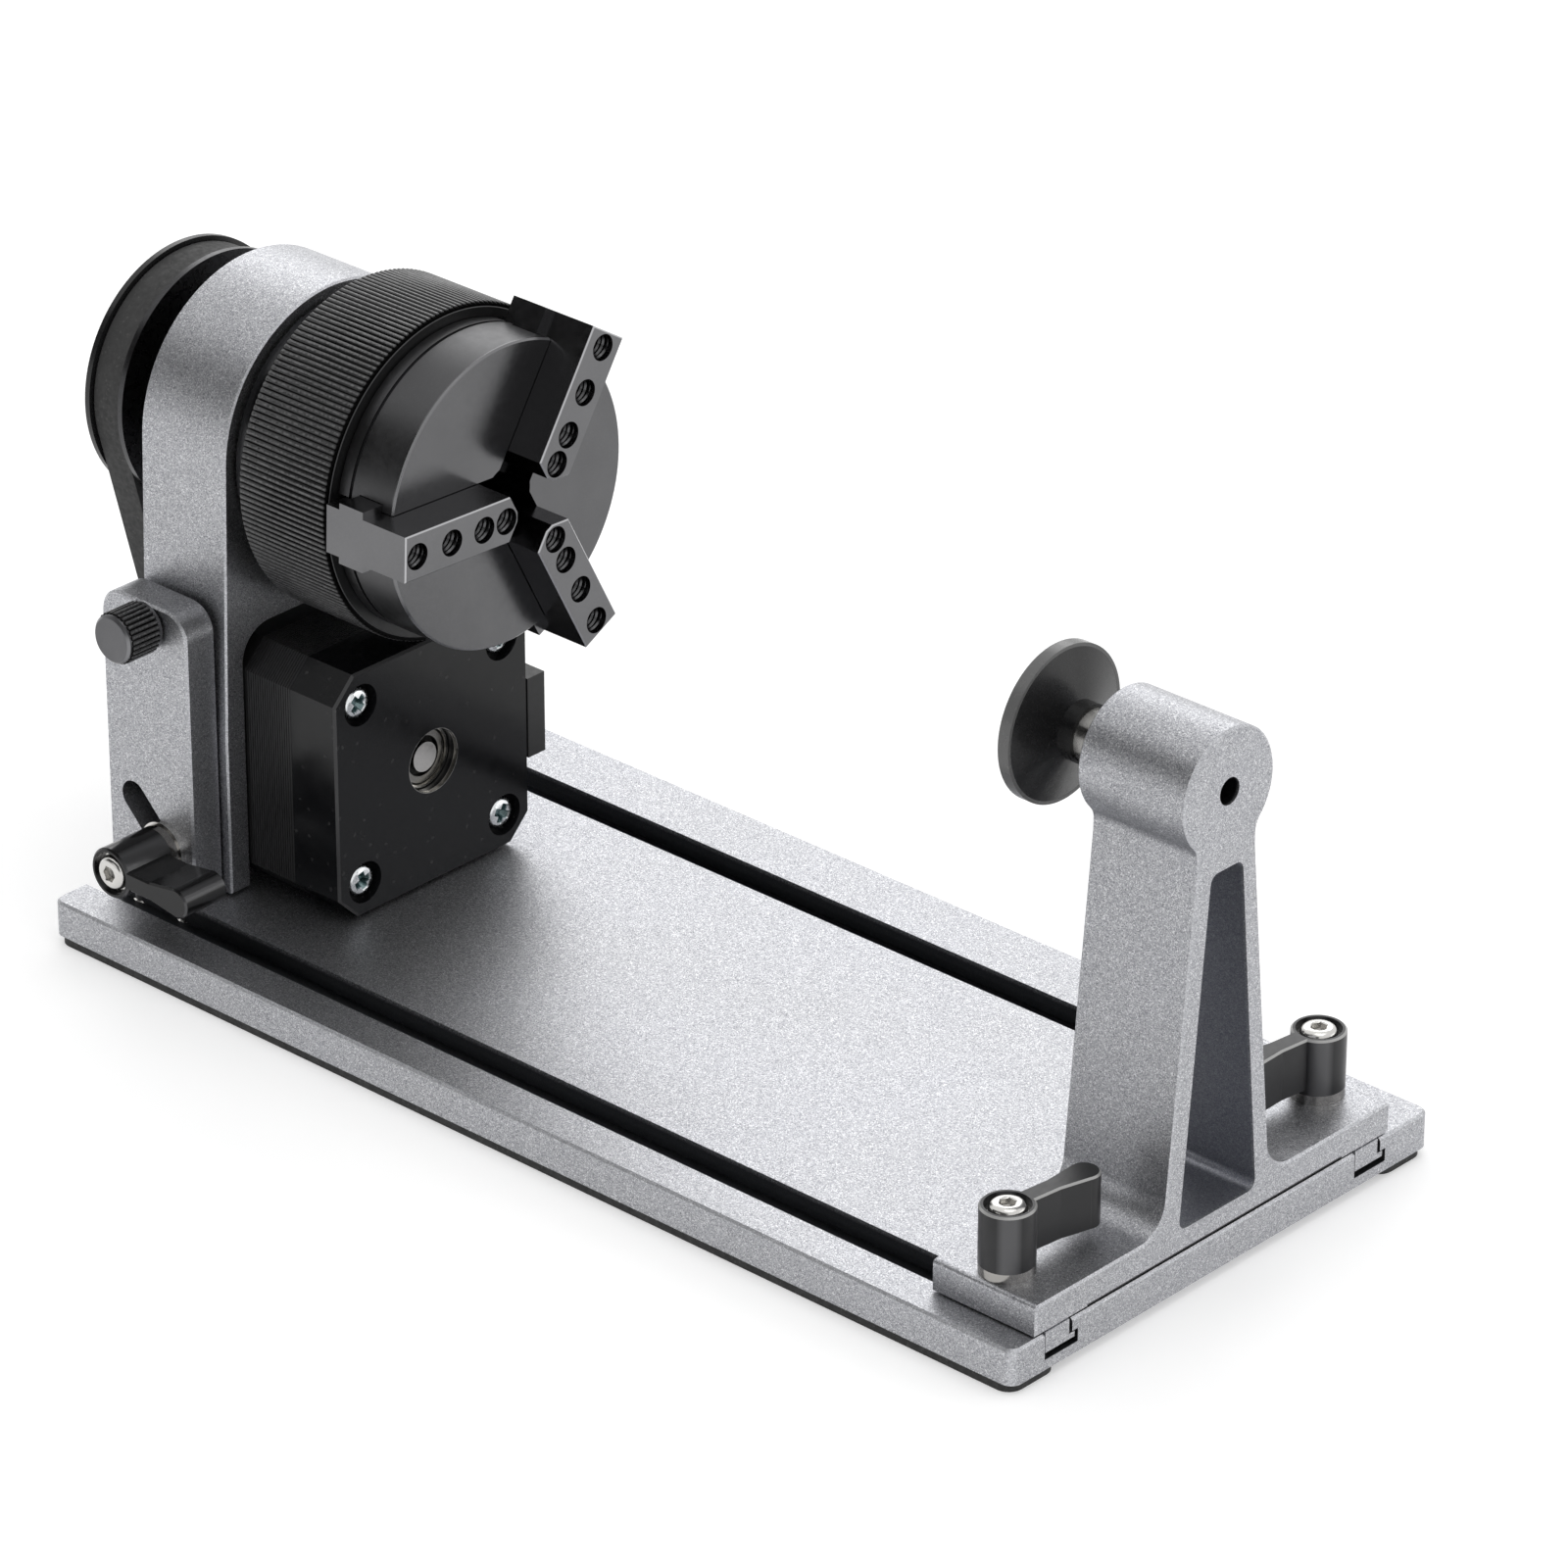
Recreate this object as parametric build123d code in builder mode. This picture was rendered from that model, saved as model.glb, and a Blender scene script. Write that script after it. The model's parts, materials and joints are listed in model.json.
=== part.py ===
from build123d import *
import math
import os

# Laser rotary chuck: base with two T-slots, tilting headstock with motor, belt and three-jaw scroll
# chuck, and a sliding tailstock. Millimetres, +Z up, +X from the headstock to the tailstock.
# The origin is under the middle of the whole object, on the surface it stands on.

os.makedirs("parts", exist_ok=True)

# Fits
running_gap = 0.05  # radial, shaft in bore
slide_gap = 0.1  # flat guide faces
seat_gap = 0.3  # faces that lie beside each other on different bodies
fixed_gap = 0.02  # radial, fixed shank in its hole

# Base plate, its slots and its rubber strips
base_length = 200.6
base_width = 95.0
base_thickness = 6.0
base_corner = 2.0
base_edge = 0.4
strip_thickness = 1.5
strip_width = 10.0
strip_side_inset = 0.8
strip_end_inset = 2.0
head_offset = -2.5  # spindle plane from the plate's middle line
slot_spacing = 35.0  # each slot from the spindle plane
slot_width = 6.0
slot_depth = 4.3
lip_thickness = 2.1
undercut = 1.25

# Side plates
side_plate_length = 19.0
side_plate_height = 50.5
side_plate_corner = 4.5
side_plate_edge = 0.4
side_plate_inner = 25.8  # inner face from the spindle plane
pivot_inset = 12.5  # tilt pivot from the base's rear end
pivot_height = 8.5
slot_travel = 9.5  # of the pivot in the slanted slot
slant_angle = 135.0  # from +X towards +Z
thumb_inset = 10.6
thumb_height = 47.0
plate_screw_spacing = 10.0
plate_screw_radius = 2.0
plate_screw_head_radius = 3.9
plate_screw_reach = 12.0

# Upright
upright_inset = 1.9
upright_depth = 18.6
upright_radius = 24.0
upright_half_width = 25.5
upright_flare_height = 27.0
upright_clearance = 0.5  # above the base
upright_edge = 0.3
spindle_height = 73.0
pocket_half_width = 21.6
pocket_height = 45.3
pocket_corner = 6.0

# Pivot screws, thumb screws and clamp levers
pivot_radius = 2.5
pivot_depth = 3.6  # reach into the upright's flank
pivot_slot_gap = 0.15  # radial, in the slanted slot
pivot_head_height = 2.5
pivot_head_edge = 1.2
pivot_socket = 3.0
pivot_socket_depth = 1.4
washer_radius = 4.6
washer_thickness = 0.8
thumb_radius = 4.0
thumb_length = 7.8
thumb_shank_radius = 2.0
thumb_edge = 0.4
lever_radius = 4.25
lever_height = 9.4
lever_wing_height = 8.5
lever_reach = 17.2
lever_root_half = 1.6
lever_end_radius = 2.5
lever_edge = 0.3
lever_taper = 0.6  # where the wing starts to widen, of its length
collar_height = 1.6
recess_radius = 3.55
recess_depth = 1.7
cup_washer_thickness = 0.5
button_radius = 2.9
button_height = 1.5
button_edge = 1.1
socket_size = 2.3
socket_depth = 1.2
lever_screw_radius = 1.9
foot_lever_angle = 83.0  # near wing, from +X

# Motor
motor_height = 21.5
motor_size = 42.3
motor_length = 28.0
motor_stand_out = 19.8  # rear cap's face from the upright's front
motor_chamfer = 4.2
motor_cap_depth = 9.8
motor_front_cap_depth = 8.0
motor_cap_edge = 0.4
motor_boss_radius = 11.0
motor_boss_length = 2.0
motor_screw_spacing = 31.0
motor_screw_radius = 1.45
case_screw_grip = 2.0  # in the front cap
mount_screw_grip = 4.0  # in the front cap
motor_recess_radius = 3.5
motor_recess_depth = 2.2
motor_screw_head_radius = 2.7
motor_screw_head_height = 1.7
motor_centre_radius = 5.35
motor_bearing_depth = 2.0
motor_bearing_width = 4.0
motor_shaft_radius = 2.5
motor_shaft_gap = 0.1  # radial, where the shaft passes the front cap
motor_shaft_length = 24.0
rotor_radius = 11.0
stator_bore_radius = 11.3
rotor_gap = 0.2  # between the rotor's body and the end caps
connector_width = 10.0
connector_depth = 3.8
connector_height = 14.0
connector_base = 14.0
connector_mouth_width = 4.5
connector_mouth_height = 11.2
connector_mouth_depth = 2.7

# Belt drive
pulley_gap = 7.3  # inner flange from the upright
pulley_width = 8.4
flange_thickness = 1.0
big_rim_radius = 18.8
big_flange_radius = 21.2
big_boss_radius = 11.0
small_rim_radius = 6.1
small_flange_radius = 8.0
small_boss_radius = 6.5
boss_gap = 0.9  # boss from the upright
belt_thickness = 1.3
belt_side_gap = 0.25

# Spindle and its bearings
journal_radius = 7.45
nose_radius = 7.0
nose_length = 16.0
shoulder_radius = 8.8
pulley_seat_radius = 6.0
bearing_outer_radius = 14.0
bearing_width = 7.0
bearing_inset = 0.5
inner_ring_radius = 9.2
middle_bore_radius = 12.2

# Chuck
chuck_gap = 0.5  # back plate from the upright
back_plate_radius = 22.0
ring_stand_out = 6.3  # ring's rear face from the upright's front
ring_length = 18.9
ring_radius = 27.0
ring_edge = 0.6
hub_radius = 10.0
body_radius = 24.9
body_length = 11.8
body_edge = 0.3
centre_hole_radius = 5.0
groove_from_face = 8.8
groove_width = 0.6
groove_depth = 0.4
spiral_pitch = 3.0
ridge_width = 1.1
tooth_width = 1.1
tooth_half_length = 2.8
groove_extra_quarters = 6  # of the teeth's spiral beyond the ridge's
ridge_height = 1.6
spiral_start_radius = 11.0
spiral_quarters = 16
recess_outer_radius = 23.8

# Jaws
jaw_angles = (57.4, 177.4, 297.4)  # from +Y towards +Z
jaw_stand_out = 6.95
jaw_outer_radius = 28.7
jaw_apex_radius = 4.235
jaw_tip_radius = 4.65
jaw_width = 7.5
jaw_guide_width = 9.9
jaw_tail_width = 7.8
jaw_guide_from_face = 2.2
jaw_guide_depth = 5.0
jaw_hole_radius = 2.15
jaw_hole_depth = 7.0
jaw_hole_radii = (7.2, 11.95, 18.85, 26.2)
jaw_edge = 0.2

# Tailstock
tail_length = 20.0
tail_foot_half_width = 40.0
tail_foot_top = 5.35
tail_foot_corner = 0.8
tail_relief_half = 28.75
tail_relief_depth = 0.4
tail_column_low_half = 11.95
tail_column_high_half = 6.4
tail_column_top = 62.0
tail_column_fillet = 5.5
tail_head_radius = 9.9
tail_neck_fillet = 3.0
tail_axis_height = 72.8
tail_edge = 0.35
window_bottom = 4.2
window_top = 60.5
window_low_half = 8.7
window_high_half = 3.5
window_corner = 1.6
hook_width = 5.2
hook_lip_gap = 0.15
hook_floor_gap = 1.15
hook_reach = 0.5  # of the flange under the lip
screw_floor_gap = 0.3
end_hole_radius = 2.15
tail_bearing_radius = 5.5
tail_bearing_width = 5.0
tail_shaft_radius = 2.5
disc_radius = 12.3
disc_gap = 10.9  # disc's rim plane from the head's face
disc_rim = 2.0
disc_edge = 0.6
disc_hub_radius = 4.6
disc_hub_length = 5.0
spacer_radius = 4.2

# Places that follow from the sizes above
deck = strip_thickness + base_thickness
overhang = pulley_gap + pulley_width - upright_inset
total_length = base_length + overhang
base_front = total_length / 2
base_rear = base_front - base_length
base_middle = (base_front + base_rear) / 2
upright_rear = base_rear + upright_inset
upright_front = upright_rear + upright_depth
spindle_z = deck + spindle_height
motor_z = deck + motor_height
pivot_x = base_rear + pivot_inset
pivot_z = deck + pivot_height
thumb_x = base_rear + thumb_inset
thumb_z = deck + thumb_height
side_plate_middle = base_rear + side_plate_length / 2
side_plate_thickness = slot_spacing - slot_width / 2 - side_plate_inner
side_plate_outer = side_plate_inner + side_plate_thickness
motor_back = upright_front + motor_stand_out
motor_front = motor_back - motor_length
pulley_inner = upright_rear - pulley_gap
pulley_outer = pulley_inner - pulley_width
back_plate_rear = upright_front + chuck_gap
ring_rear = upright_front + ring_stand_out
ring_front = ring_rear + ring_length
chuck_face = ring_front + body_length
jaw_front = chuck_face + jaw_stand_out
body_rear = ring_front + seat_gap
jaw_back = ring_front + seat_gap + ridge_height
tooth_tip = ring_front + seat_gap + slide_gap
tail_face = base_front - tail_length
tail_axis_z = deck + tail_axis_height
lever_total = lever_height + collar_height


def save(builder, name):
    """Label a finished piece and write its STEP file."""
    builder.part.label = name
    export_step(builder.part, f"parts/{name}.step")


def plane_across(y):
    """Plane at the given Y, drawn in (X, Z), whose extrusions run towards -Y."""
    return Plane.XZ.offset(-y)


def plane_along(x):
    """Plane at the given X, drawn in (Y, Z), whose extrusions run towards +X."""
    return Plane.YZ.offset(x)


def turned(points, axis_z):
    """Turn a half profile of (x, radius) points about an axis along X."""
    with BuildSketch(plane_across(head_offset)) as half:
        with BuildLine():
            Polyline(*[(x, axis_z + radius) for x, radius in points], close=True)
        make_face()
    revolve(half.sketch, axis=Axis((0, head_offset, axis_z), (1, 0, 0)))


def tube(x_from, x_to, outer, inner, axis_z):
    """Turned ring between two places along X."""
    turned([(x_from, inner), (x_from, outer), (x_to, outer), (x_to, inner)], axis_z)


def bore(x_from, x_to, radius, centre):
    """Cut a round hole along X; centre is (y, z)."""
    with BuildSketch(plane_along(x_from)) as hole:
        with Locations(centre):
            Circle(radius)
    extrude(hole.sketch, amount=x_to - x_from, mode=Mode.SUBTRACT)


def motor_corners(spacing):
    """The four screw places of the motor as (y, z)."""
    half = spacing / 2
    return [(head_offset + sy * half, motor_z + sz * half) for sy in (-1, 1) for sz in (-1, 1)]


# Base plate
with BuildPart() as base_plate:
    with BuildSketch(Plane.XY.offset(strip_thickness)) as plan:
        with Locations((base_middle, 0)):
            Rectangle(base_length, base_width)
        fillet(plan.vertices(), radius=base_corner)
    extrude(amount=base_thickness)
    chamfer(base_plate.edges().group_by(Axis.Z)[-1], length=base_edge)
    with BuildSketch(plane_along(base_rear)):
        for side in (-1, 1):
            slot_y = head_offset + side * slot_spacing
            with Locations((slot_y, deck - slot_depth / 2)):
                Rectangle(slot_width, slot_depth)
            channel_height = slot_depth - lip_thickness
            with Locations((slot_y + undercut / 2, deck - slot_depth + channel_height / 2)):
                Rectangle(slot_width + undercut, channel_height)
    extrude(amount=base_length, mode=Mode.SUBTRACT)
    screw_y = side_plate_inner + side_plate_thickness / 2
    screw_places = [
        (side_plate_middle + sx * plate_screw_spacing / 2, head_offset + sy * screw_y)
        for sx in (-1, 1)
        for sy in (-1, 1)
    ]
    for x, y in screw_places:
        with Locations(Location((x, y, strip_thickness), (0, 180, 0))):
            CounterSinkHole(
                radius=plate_screw_radius + fixed_gap,
                counter_sink_radius=plate_screw_head_radius + fixed_gap,
                depth=base_thickness,
                counter_sink_angle=90,
            )
save(base_plate, "base_plate")

# Rubber strips under the two long edges
for side, name in ((-1, "rubber_strip_near"), (1, "rubber_strip_far")):
    with BuildPart() as rubber_strip:
        with BuildSketch(Plane.XY):
            strip_y = side * (base_width / 2 - strip_side_inset - strip_width / 2)
            with Locations((base_middle, strip_y)):
                SlotOverall(base_length - 2 * strip_end_inset, strip_width)
        extrude(amount=strip_thickness)
    save(rubber_strip, name)

# Side plates with the slanted slot and the thumb screw's hole
slant = math.radians(slant_angle)
slant_middle = (
    pivot_x + math.cos(slant) * slot_travel / 2,
    pivot_z + math.sin(slant) * slot_travel / 2,
)
for side, name in ((-1, "side_plate_near"), (1, "side_plate_far")):
    inner_y = head_offset + side * side_plate_inner
    outer_y = head_offset + side * side_plate_outer
    with BuildPart() as side_plate:
        with BuildSketch(plane_across(max(inner_y, outer_y))) as outline:
            with Locations((side_plate_middle, deck + side_plate_height / 2)):
                Rectangle(side_plate_length, side_plate_height)
            fillet(outline.vertices().group_by(Axis.Y)[-1], radius=side_plate_corner)
        extrude(amount=side_plate_thickness)
        flat_faces = side_plate.faces().filter_by(Axis.Y)
        rims = [edge for edge in flat_faces.edges() if edge.center().Z > deck + side_plate_edge]
        chamfer(rims, length=side_plate_edge)
        with BuildSketch(plane_across(max(inner_y, outer_y))):
            with Locations(slant_middle):
                SlotCenterToCenter(slot_travel, 2 * (pivot_radius + pivot_slot_gap), rotation=slant_angle)
            with Locations((thumb_x, thumb_z)):
                Circle(thumb_shank_radius + running_gap)
        extrude(amount=side_plate_thickness, mode=Mode.SUBTRACT)
        for sx in (-1, 1):
            screw_x = side_plate_middle + sx * plate_screw_spacing / 2
            with Locations(Location((screw_x, head_offset + side * screw_y, deck), (0, 180, 0))):
                Hole(plate_screw_radius + fixed_gap, depth=plate_screw_reach - base_thickness + slide_gap)
    save(side_plate, name)

# Countersunk screws from below
with BuildPart() as side_plate_screws:
    cone_height = plate_screw_head_radius - plate_screw_radius
    for x, y in screw_places:
        with BuildSketch(Plane.XY.offset(strip_thickness)):
            with Locations((x, y)):
                Circle(plate_screw_radius)
        extrude(amount=plate_screw_reach)
        with Locations((x, y, strip_thickness + cone_height / 2)):
            Cone(plate_screw_head_radius, plate_screw_radius, cone_height)
save(side_plate_screws, "side_plate_screws")

# Upright: an arch over the spindle that flares into two legs round the motor
with BuildPart() as upright:
    flare_z = deck + upright_flare_height
    rise = spindle_z - flare_z
    reach = math.hypot(upright_half_width, rise)
    tangent = math.degrees(math.acos(upright_radius / reach) - math.atan2(rise, upright_half_width))
    tangent_y = upright_radius * math.cos(math.radians(tangent))
    tangent_z = spindle_z + upright_radius * math.sin(math.radians(tangent))
    bottom = deck + upright_clearance
    with BuildSketch(plane_along(upright_rear)):
        with BuildLine():
            Polyline(
                (head_offset - tangent_y, tangent_z),
                (head_offset - upright_half_width, flare_z),
                (head_offset - upright_half_width, bottom),
                (head_offset + upright_half_width, bottom),
                (head_offset + upright_half_width, flare_z),
                (head_offset + tangent_y, tangent_z),
            )
            CenterArc((head_offset, spindle_z), upright_radius, tangent, 180 - 2 * tangent)
        make_face()
    extrude(amount=upright_depth)
    chamfer(upright.faces().filter_by(Axis.X).edges(), length=upright_edge)
    with BuildSketch(plane_along(motor_front)) as pocket:
        with Locations((head_offset, deck + pocket_height / 2)):
            Rectangle(2 * pocket_half_width, pocket_height)
        fillet(pocket.vertices().group_by(Axis.Y)[-1], radius=pocket_corner)
    extrude(amount=upright_front - motor_front, mode=Mode.SUBTRACT)
    spindle_centre = (head_offset, spindle_z)
    seat_depth = bearing_width + bearing_inset
    bore(upright_rear, upright_front, middle_bore_radius, spindle_centre)
    bore(upright_rear, upright_rear + seat_depth, bearing_outer_radius + fixed_gap, spindle_centre)
    bore(upright_front - seat_depth, upright_front, bearing_outer_radius + fixed_gap, spindle_centre)
    bore(upright_rear, motor_front, motor_boss_radius + running_gap, (head_offset, motor_z))
    for corner in motor_corners(motor_screw_spacing):
        bore(upright_rear, motor_front, motor_screw_radius + running_gap, corner)
        head_seat = upright_rear + motor_screw_head_height + seat_gap
        bore(upright_rear, head_seat, motor_screw_head_radius + running_gap, corner)
    for side in (-1, 1):
        with BuildSketch(plane_across(head_offset + side * upright_half_width)):
            with Locations((pivot_x, pivot_z)):
                Circle(pivot_radius + running_gap)
        extrude(amount=side * (pivot_depth + seat_gap), mode=Mode.SUBTRACT)
save(upright, "upright")

# Washers of the tilt pivot, against the two side plates
for side, name in ((-1, "pivot_washer_near"), (1, "pivot_washer_far")):
    with BuildPart() as pivot_washer:
        face_y = head_offset + side * side_plate_outer
        with BuildSketch(plane_across(face_y)):
            with Locations((pivot_x, pivot_z)):
                Circle(washer_radius)
                Circle(pivot_radius + running_gap, mode=Mode.SUBTRACT)
        extrude(amount=-side * washer_thickness)
    save(pivot_washer, name)


# Pivot screw on the far side
with BuildPart() as pivot_screw_far:
    tip_y = head_offset + upright_half_width - pivot_depth
    seat_y = head_offset + side_plate_outer + washer_thickness
    with BuildSketch(plane_across(seat_y)):
        with Locations((pivot_x, pivot_z)):
            Circle(pivot_radius)
    extrude(amount=seat_y - tip_y)
    head_plane = Plane(origin=(pivot_x, seat_y, pivot_z), x_dir=(1, 0, 0), z_dir=(0, 1, 0))
    with BuildSketch(head_plane):
        Circle(washer_radius - running_gap)
    extrude(amount=pivot_head_height)
    chamfer(pivot_screw_far.edges().group_by(Axis.Y)[-1], length=pivot_head_edge)
    with BuildSketch(head_plane.offset(pivot_head_height)):
        RegularPolygon(radius=pivot_socket / 2, side_count=6, major_radius=False)
    extrude(amount=-pivot_socket_depth, mode=Mode.SUBTRACT)
save(pivot_screw_far, "pivot_screw_far")

# Knurled thumb screws through the side plates
for side, name in ((-1, "thumb_screw_near"), (1, "thumb_screw_far")):
    flank = upright_half_width - (thumb_height - upright_flare_height) * (
        (upright_half_width - tangent_y) / (tangent_z - flare_z)
    )
    shank_plane = Plane(
        origin=(thumb_x, head_offset + side * (flank + seat_gap), thumb_z),
        x_dir=(1, 0, 0),
        z_dir=(0, side, 0),
    )
    with BuildPart() as thumb_screw:
        shank_length = side_plate_outer - flank - seat_gap
        with BuildSketch(shank_plane):
            Circle(thumb_shank_radius)
        extrude(amount=shank_length + thumb_length / 2)
        with BuildSketch(shank_plane.offset(shank_length + seat_gap)):
            Circle(thumb_radius)
        extrude(amount=thumb_length - seat_gap)
        rim = thumb_screw.edges().filter_by(GeomType.CIRCLE).group_by(SortBy.RADIUS)[-1]
        chamfer(rim, length=thumb_edge)
    save(thumb_screw, name)


def lever_outline():
    """Top view of a clamp lever: a round hub and a wing that thickens to a round end."""
    end_centre = lever_reach - lever_end_radius
    Circle(lever_radius)
    with Locations((end_centre, 0)):
        Circle(lever_end_radius)
    with BuildLine() as wing:
        Polyline(
            (0, -lever_root_half),
            (end_centre * lever_taper, -lever_root_half),
            (end_centre, -lever_end_radius),
            (end_centre, lever_end_radius),
            (end_centre * lever_taper, lever_root_half),
            (0, lever_root_half),
            close=True,
        )
    make_face(wing.edges())


def save_lever(plane, name, screw_radius, screw_reach):
    """Clamp lever whose axis starts at the plane's origin, with its collar, cup washer and screw."""
    top = plane.offset(lever_total)
    with BuildPart() as lever:
        with BuildSketch(plane.offset(lever_total - lever_wing_height)):
            lever_outline()
        extrude(amount=lever_wing_height)
        with BuildSketch(plane.offset(collar_height)):
            Circle(lever_radius)
        extrude(amount=lever_height)
        upper = lever.faces().sort_by(Axis(plane.origin, plane.z_dir))[-1]
        chamfer(upper.edges(), length=lever_edge)
        with BuildSketch(top):
            Circle(recess_radius)
        extrude(amount=-recess_depth, mode=Mode.SUBTRACT)
        with BuildSketch(plane.offset(collar_height)):
            Circle(screw_radius + fixed_gap)
        extrude(amount=lever_height, mode=Mode.SUBTRACT)
    save(lever, name)

    with BuildPart() as collar:
        with BuildSketch(plane):
            Circle(lever_radius)
            Circle(screw_radius + fixed_gap, mode=Mode.SUBTRACT)
        extrude(amount=collar_height)
    save(collar, name + "_collar")

    with BuildPart() as cup_washer:
        with BuildSketch(top.offset(-recess_depth)):
            Circle(recess_radius - running_gap)
            Circle(screw_radius + fixed_gap, mode=Mode.SUBTRACT)
        extrude(amount=cup_washer_thickness)
    save(cup_washer, name + "_washer")

    with BuildPart() as screw:
        seat = top.offset(cup_washer_thickness - recess_depth)
        with BuildSketch(seat):
            Circle(button_radius)
        extrude(amount=button_height)
        crown = screw.edges().sort_by(Axis(plane.origin, plane.z_dir))[-1]
        chamfer(crown, length=button_edge)
        with BuildSketch(seat.offset(button_height)):
            RegularPolygon(radius=socket_size / 2, side_count=6, major_radius=False)
        extrude(amount=-socket_depth, mode=Mode.SUBTRACT)
        with BuildSketch(seat):
            Circle(screw_radius)
        extrude(amount=-(lever_total + cup_washer_thickness - recess_depth + screw_reach))
    save(screw, name + "_screw")


# Side clamp lever: its screw is the near tilt pivot
near_seat = side_plate_outer + washer_thickness
side_lever_plane = Plane(
    origin=(pivot_x, head_offset - near_seat, pivot_z), x_dir=(1, 0, 0), z_dir=(0, -1, 0)
)
save_lever(side_lever_plane, "side_lever", pivot_radius, near_seat - upright_half_width + pivot_depth)

# Motor
motor_middle = (head_offset, motor_z)


def motor_block(x_from, x_to):
    """Square length of the motor with cut corners."""
    with BuildSketch(plane_along(x_from)) as section:
        with Locations(motor_middle):
            Rectangle(motor_size, motor_size)
        chamfer(section.vertices(), length=motor_chamfer)
    extrude(section.sketch, amount=x_to - x_from)


stator_front = motor_front + motor_front_cap_depth
stator_back = motor_back - motor_cap_depth
with BuildPart() as motor_front_cap:
    motor_block(motor_front, stator_front)
    with BuildSketch(plane_along(motor_front)):
        with Locations(motor_middle):
            Circle(motor_boss_radius)
    extrude(amount=-motor_boss_length)
    bore(motor_front - motor_boss_length, stator_front, motor_shaft_radius + running_gap, motor_middle)
    for corner in motor_corners(motor_screw_spacing):
        bore(motor_front, stator_front, motor_screw_radius + fixed_gap, corner)
save(motor_front_cap, "motor_front_cap")

with BuildPart() as motor_stator:
    motor_block(stator_front, stator_back)
    bore(stator_front, stator_back, stator_bore_radius, motor_middle)
    for corner in motor_corners(motor_screw_spacing):
        bore(stator_front, stator_back, motor_screw_radius + fixed_gap, corner)
save(motor_stator, "motor_stator")

bearing_face = motor_back - motor_bearing_depth
with BuildPart() as motor_rear_cap:
    motor_block(stator_back, motor_back)
    chamfer(motor_rear_cap.faces().sort_by(Axis.X)[-1].edges(), length=motor_cap_edge)
    bearing_seat = bearing_face - motor_bearing_width
    bore(bearing_seat, motor_back, motor_centre_radius, motor_middle)
    bore(stator_back, bearing_seat, motor_shaft_radius + motor_shaft_gap, motor_middle)
    for corner in motor_corners(motor_screw_spacing):
        bore(stator_back, motor_back, motor_screw_radius + fixed_gap, corner)
        bore(motor_back - motor_recess_depth, motor_back, motor_recess_radius, corner)
save(motor_rear_cap, "motor_rear_cap")

with BuildPart() as motor_rear_bearing:
    outer = motor_centre_radius - fixed_gap
    tube(bearing_seat, bearing_face, outer, motor_shaft_radius + running_gap, motor_z)
save(motor_rear_bearing, "motor_rear_bearing")

with BuildPart() as motor_case_screws:
    head_back = motor_back - motor_recess_depth
    for corner in motor_corners(motor_screw_spacing):
        with BuildSketch(plane_along(head_back)):
            with Locations(corner):
                Circle(motor_screw_head_radius)
        extrude(amount=motor_screw_head_height)
        with BuildSketch(plane_along(stator_front - case_screw_grip)):
            with Locations(corner):
                Circle(motor_screw_radius)
        extrude(amount=head_back - stator_front + case_screw_grip)
save(motor_case_screws, "motor_case_screws")

with BuildPart() as motor_mount_screws:
    head_face = upright_rear + seat_gap
    for corner in motor_corners(motor_screw_spacing):
        with BuildSketch(plane_along(head_face)):
            with Locations(corner):
                Circle(motor_screw_head_radius)
        extrude(amount=motor_screw_head_height)
        with BuildSketch(plane_along(head_face)):
            with Locations(corner):
                Circle(motor_screw_radius)
        extrude(amount=motor_front + mount_screw_grip - head_face)
save(motor_mount_screws, "motor_mount_screws")

with BuildPart() as motor_connector:
    block_y = head_offset + motor_size / 2
    with BuildSketch(Plane.XY.offset(deck + connector_base)):
        with Locations((motor_back - connector_width / 2, block_y + connector_depth / 2)):
            Rectangle(connector_width, connector_depth)
    extrude(amount=connector_height)
    mouth = Plane(
        origin=(
            motor_back - connector_width / 2,
            block_y + connector_depth,
            deck + connector_base + connector_height / 2,
        ),
        x_dir=(1, 0, 0),
        z_dir=(0, 1, 0),
    )
    with BuildSketch(mouth):
        Rectangle(connector_mouth_width, connector_mouth_height)
    extrude(amount=-connector_mouth_depth, mode=Mode.SUBTRACT)
save(motor_connector, "motor_connector")

with BuildPart() as motor_rotor:
    shaft_end = motor_front - motor_shaft_length
    turned(
        [
            (shaft_end, 0),
            (shaft_end, motor_shaft_radius),
            (stator_front + rotor_gap, motor_shaft_radius),
            (stator_front + rotor_gap, rotor_radius),
            (stator_back - rotor_gap, rotor_radius),
            (stator_back - rotor_gap, motor_shaft_radius),
            (bearing_face + slide_gap, motor_shaft_radius),
            (bearing_face + slide_gap, 0),
        ],
        motor_z,
    )
save(motor_rotor, "motor_rotor")

# Belt drive
boss_end = upright_rear - boss_gap


def pulley(rim, flange, boss, seat, axis_z):
    """Flanged belt pulley with a boss towards the upright."""
    turned(
        [
            (pulley_outer, seat),
            (pulley_outer, flange),
            (pulley_outer + flange_thickness, flange),
            (pulley_outer + flange_thickness, rim),
            (pulley_inner - flange_thickness, rim),
            (pulley_inner - flange_thickness, boss),
            (boss_end, boss),
            (boss_end, seat),
        ],
        axis_z,
    )


with BuildPart() as drive_pulley:
    pulley(big_rim_radius, big_flange_radius, big_boss_radius, pulley_seat_radius + fixed_gap, spindle_z)
save(drive_pulley, "drive_pulley")

with BuildPart() as drive_pulley_flange:
    tube(
        pulley_inner - flange_thickness,
        pulley_inner,
        big_flange_radius,
        big_boss_radius + fixed_gap,
        spindle_z,
    )
save(drive_pulley_flange, "drive_pulley_flange")

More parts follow.
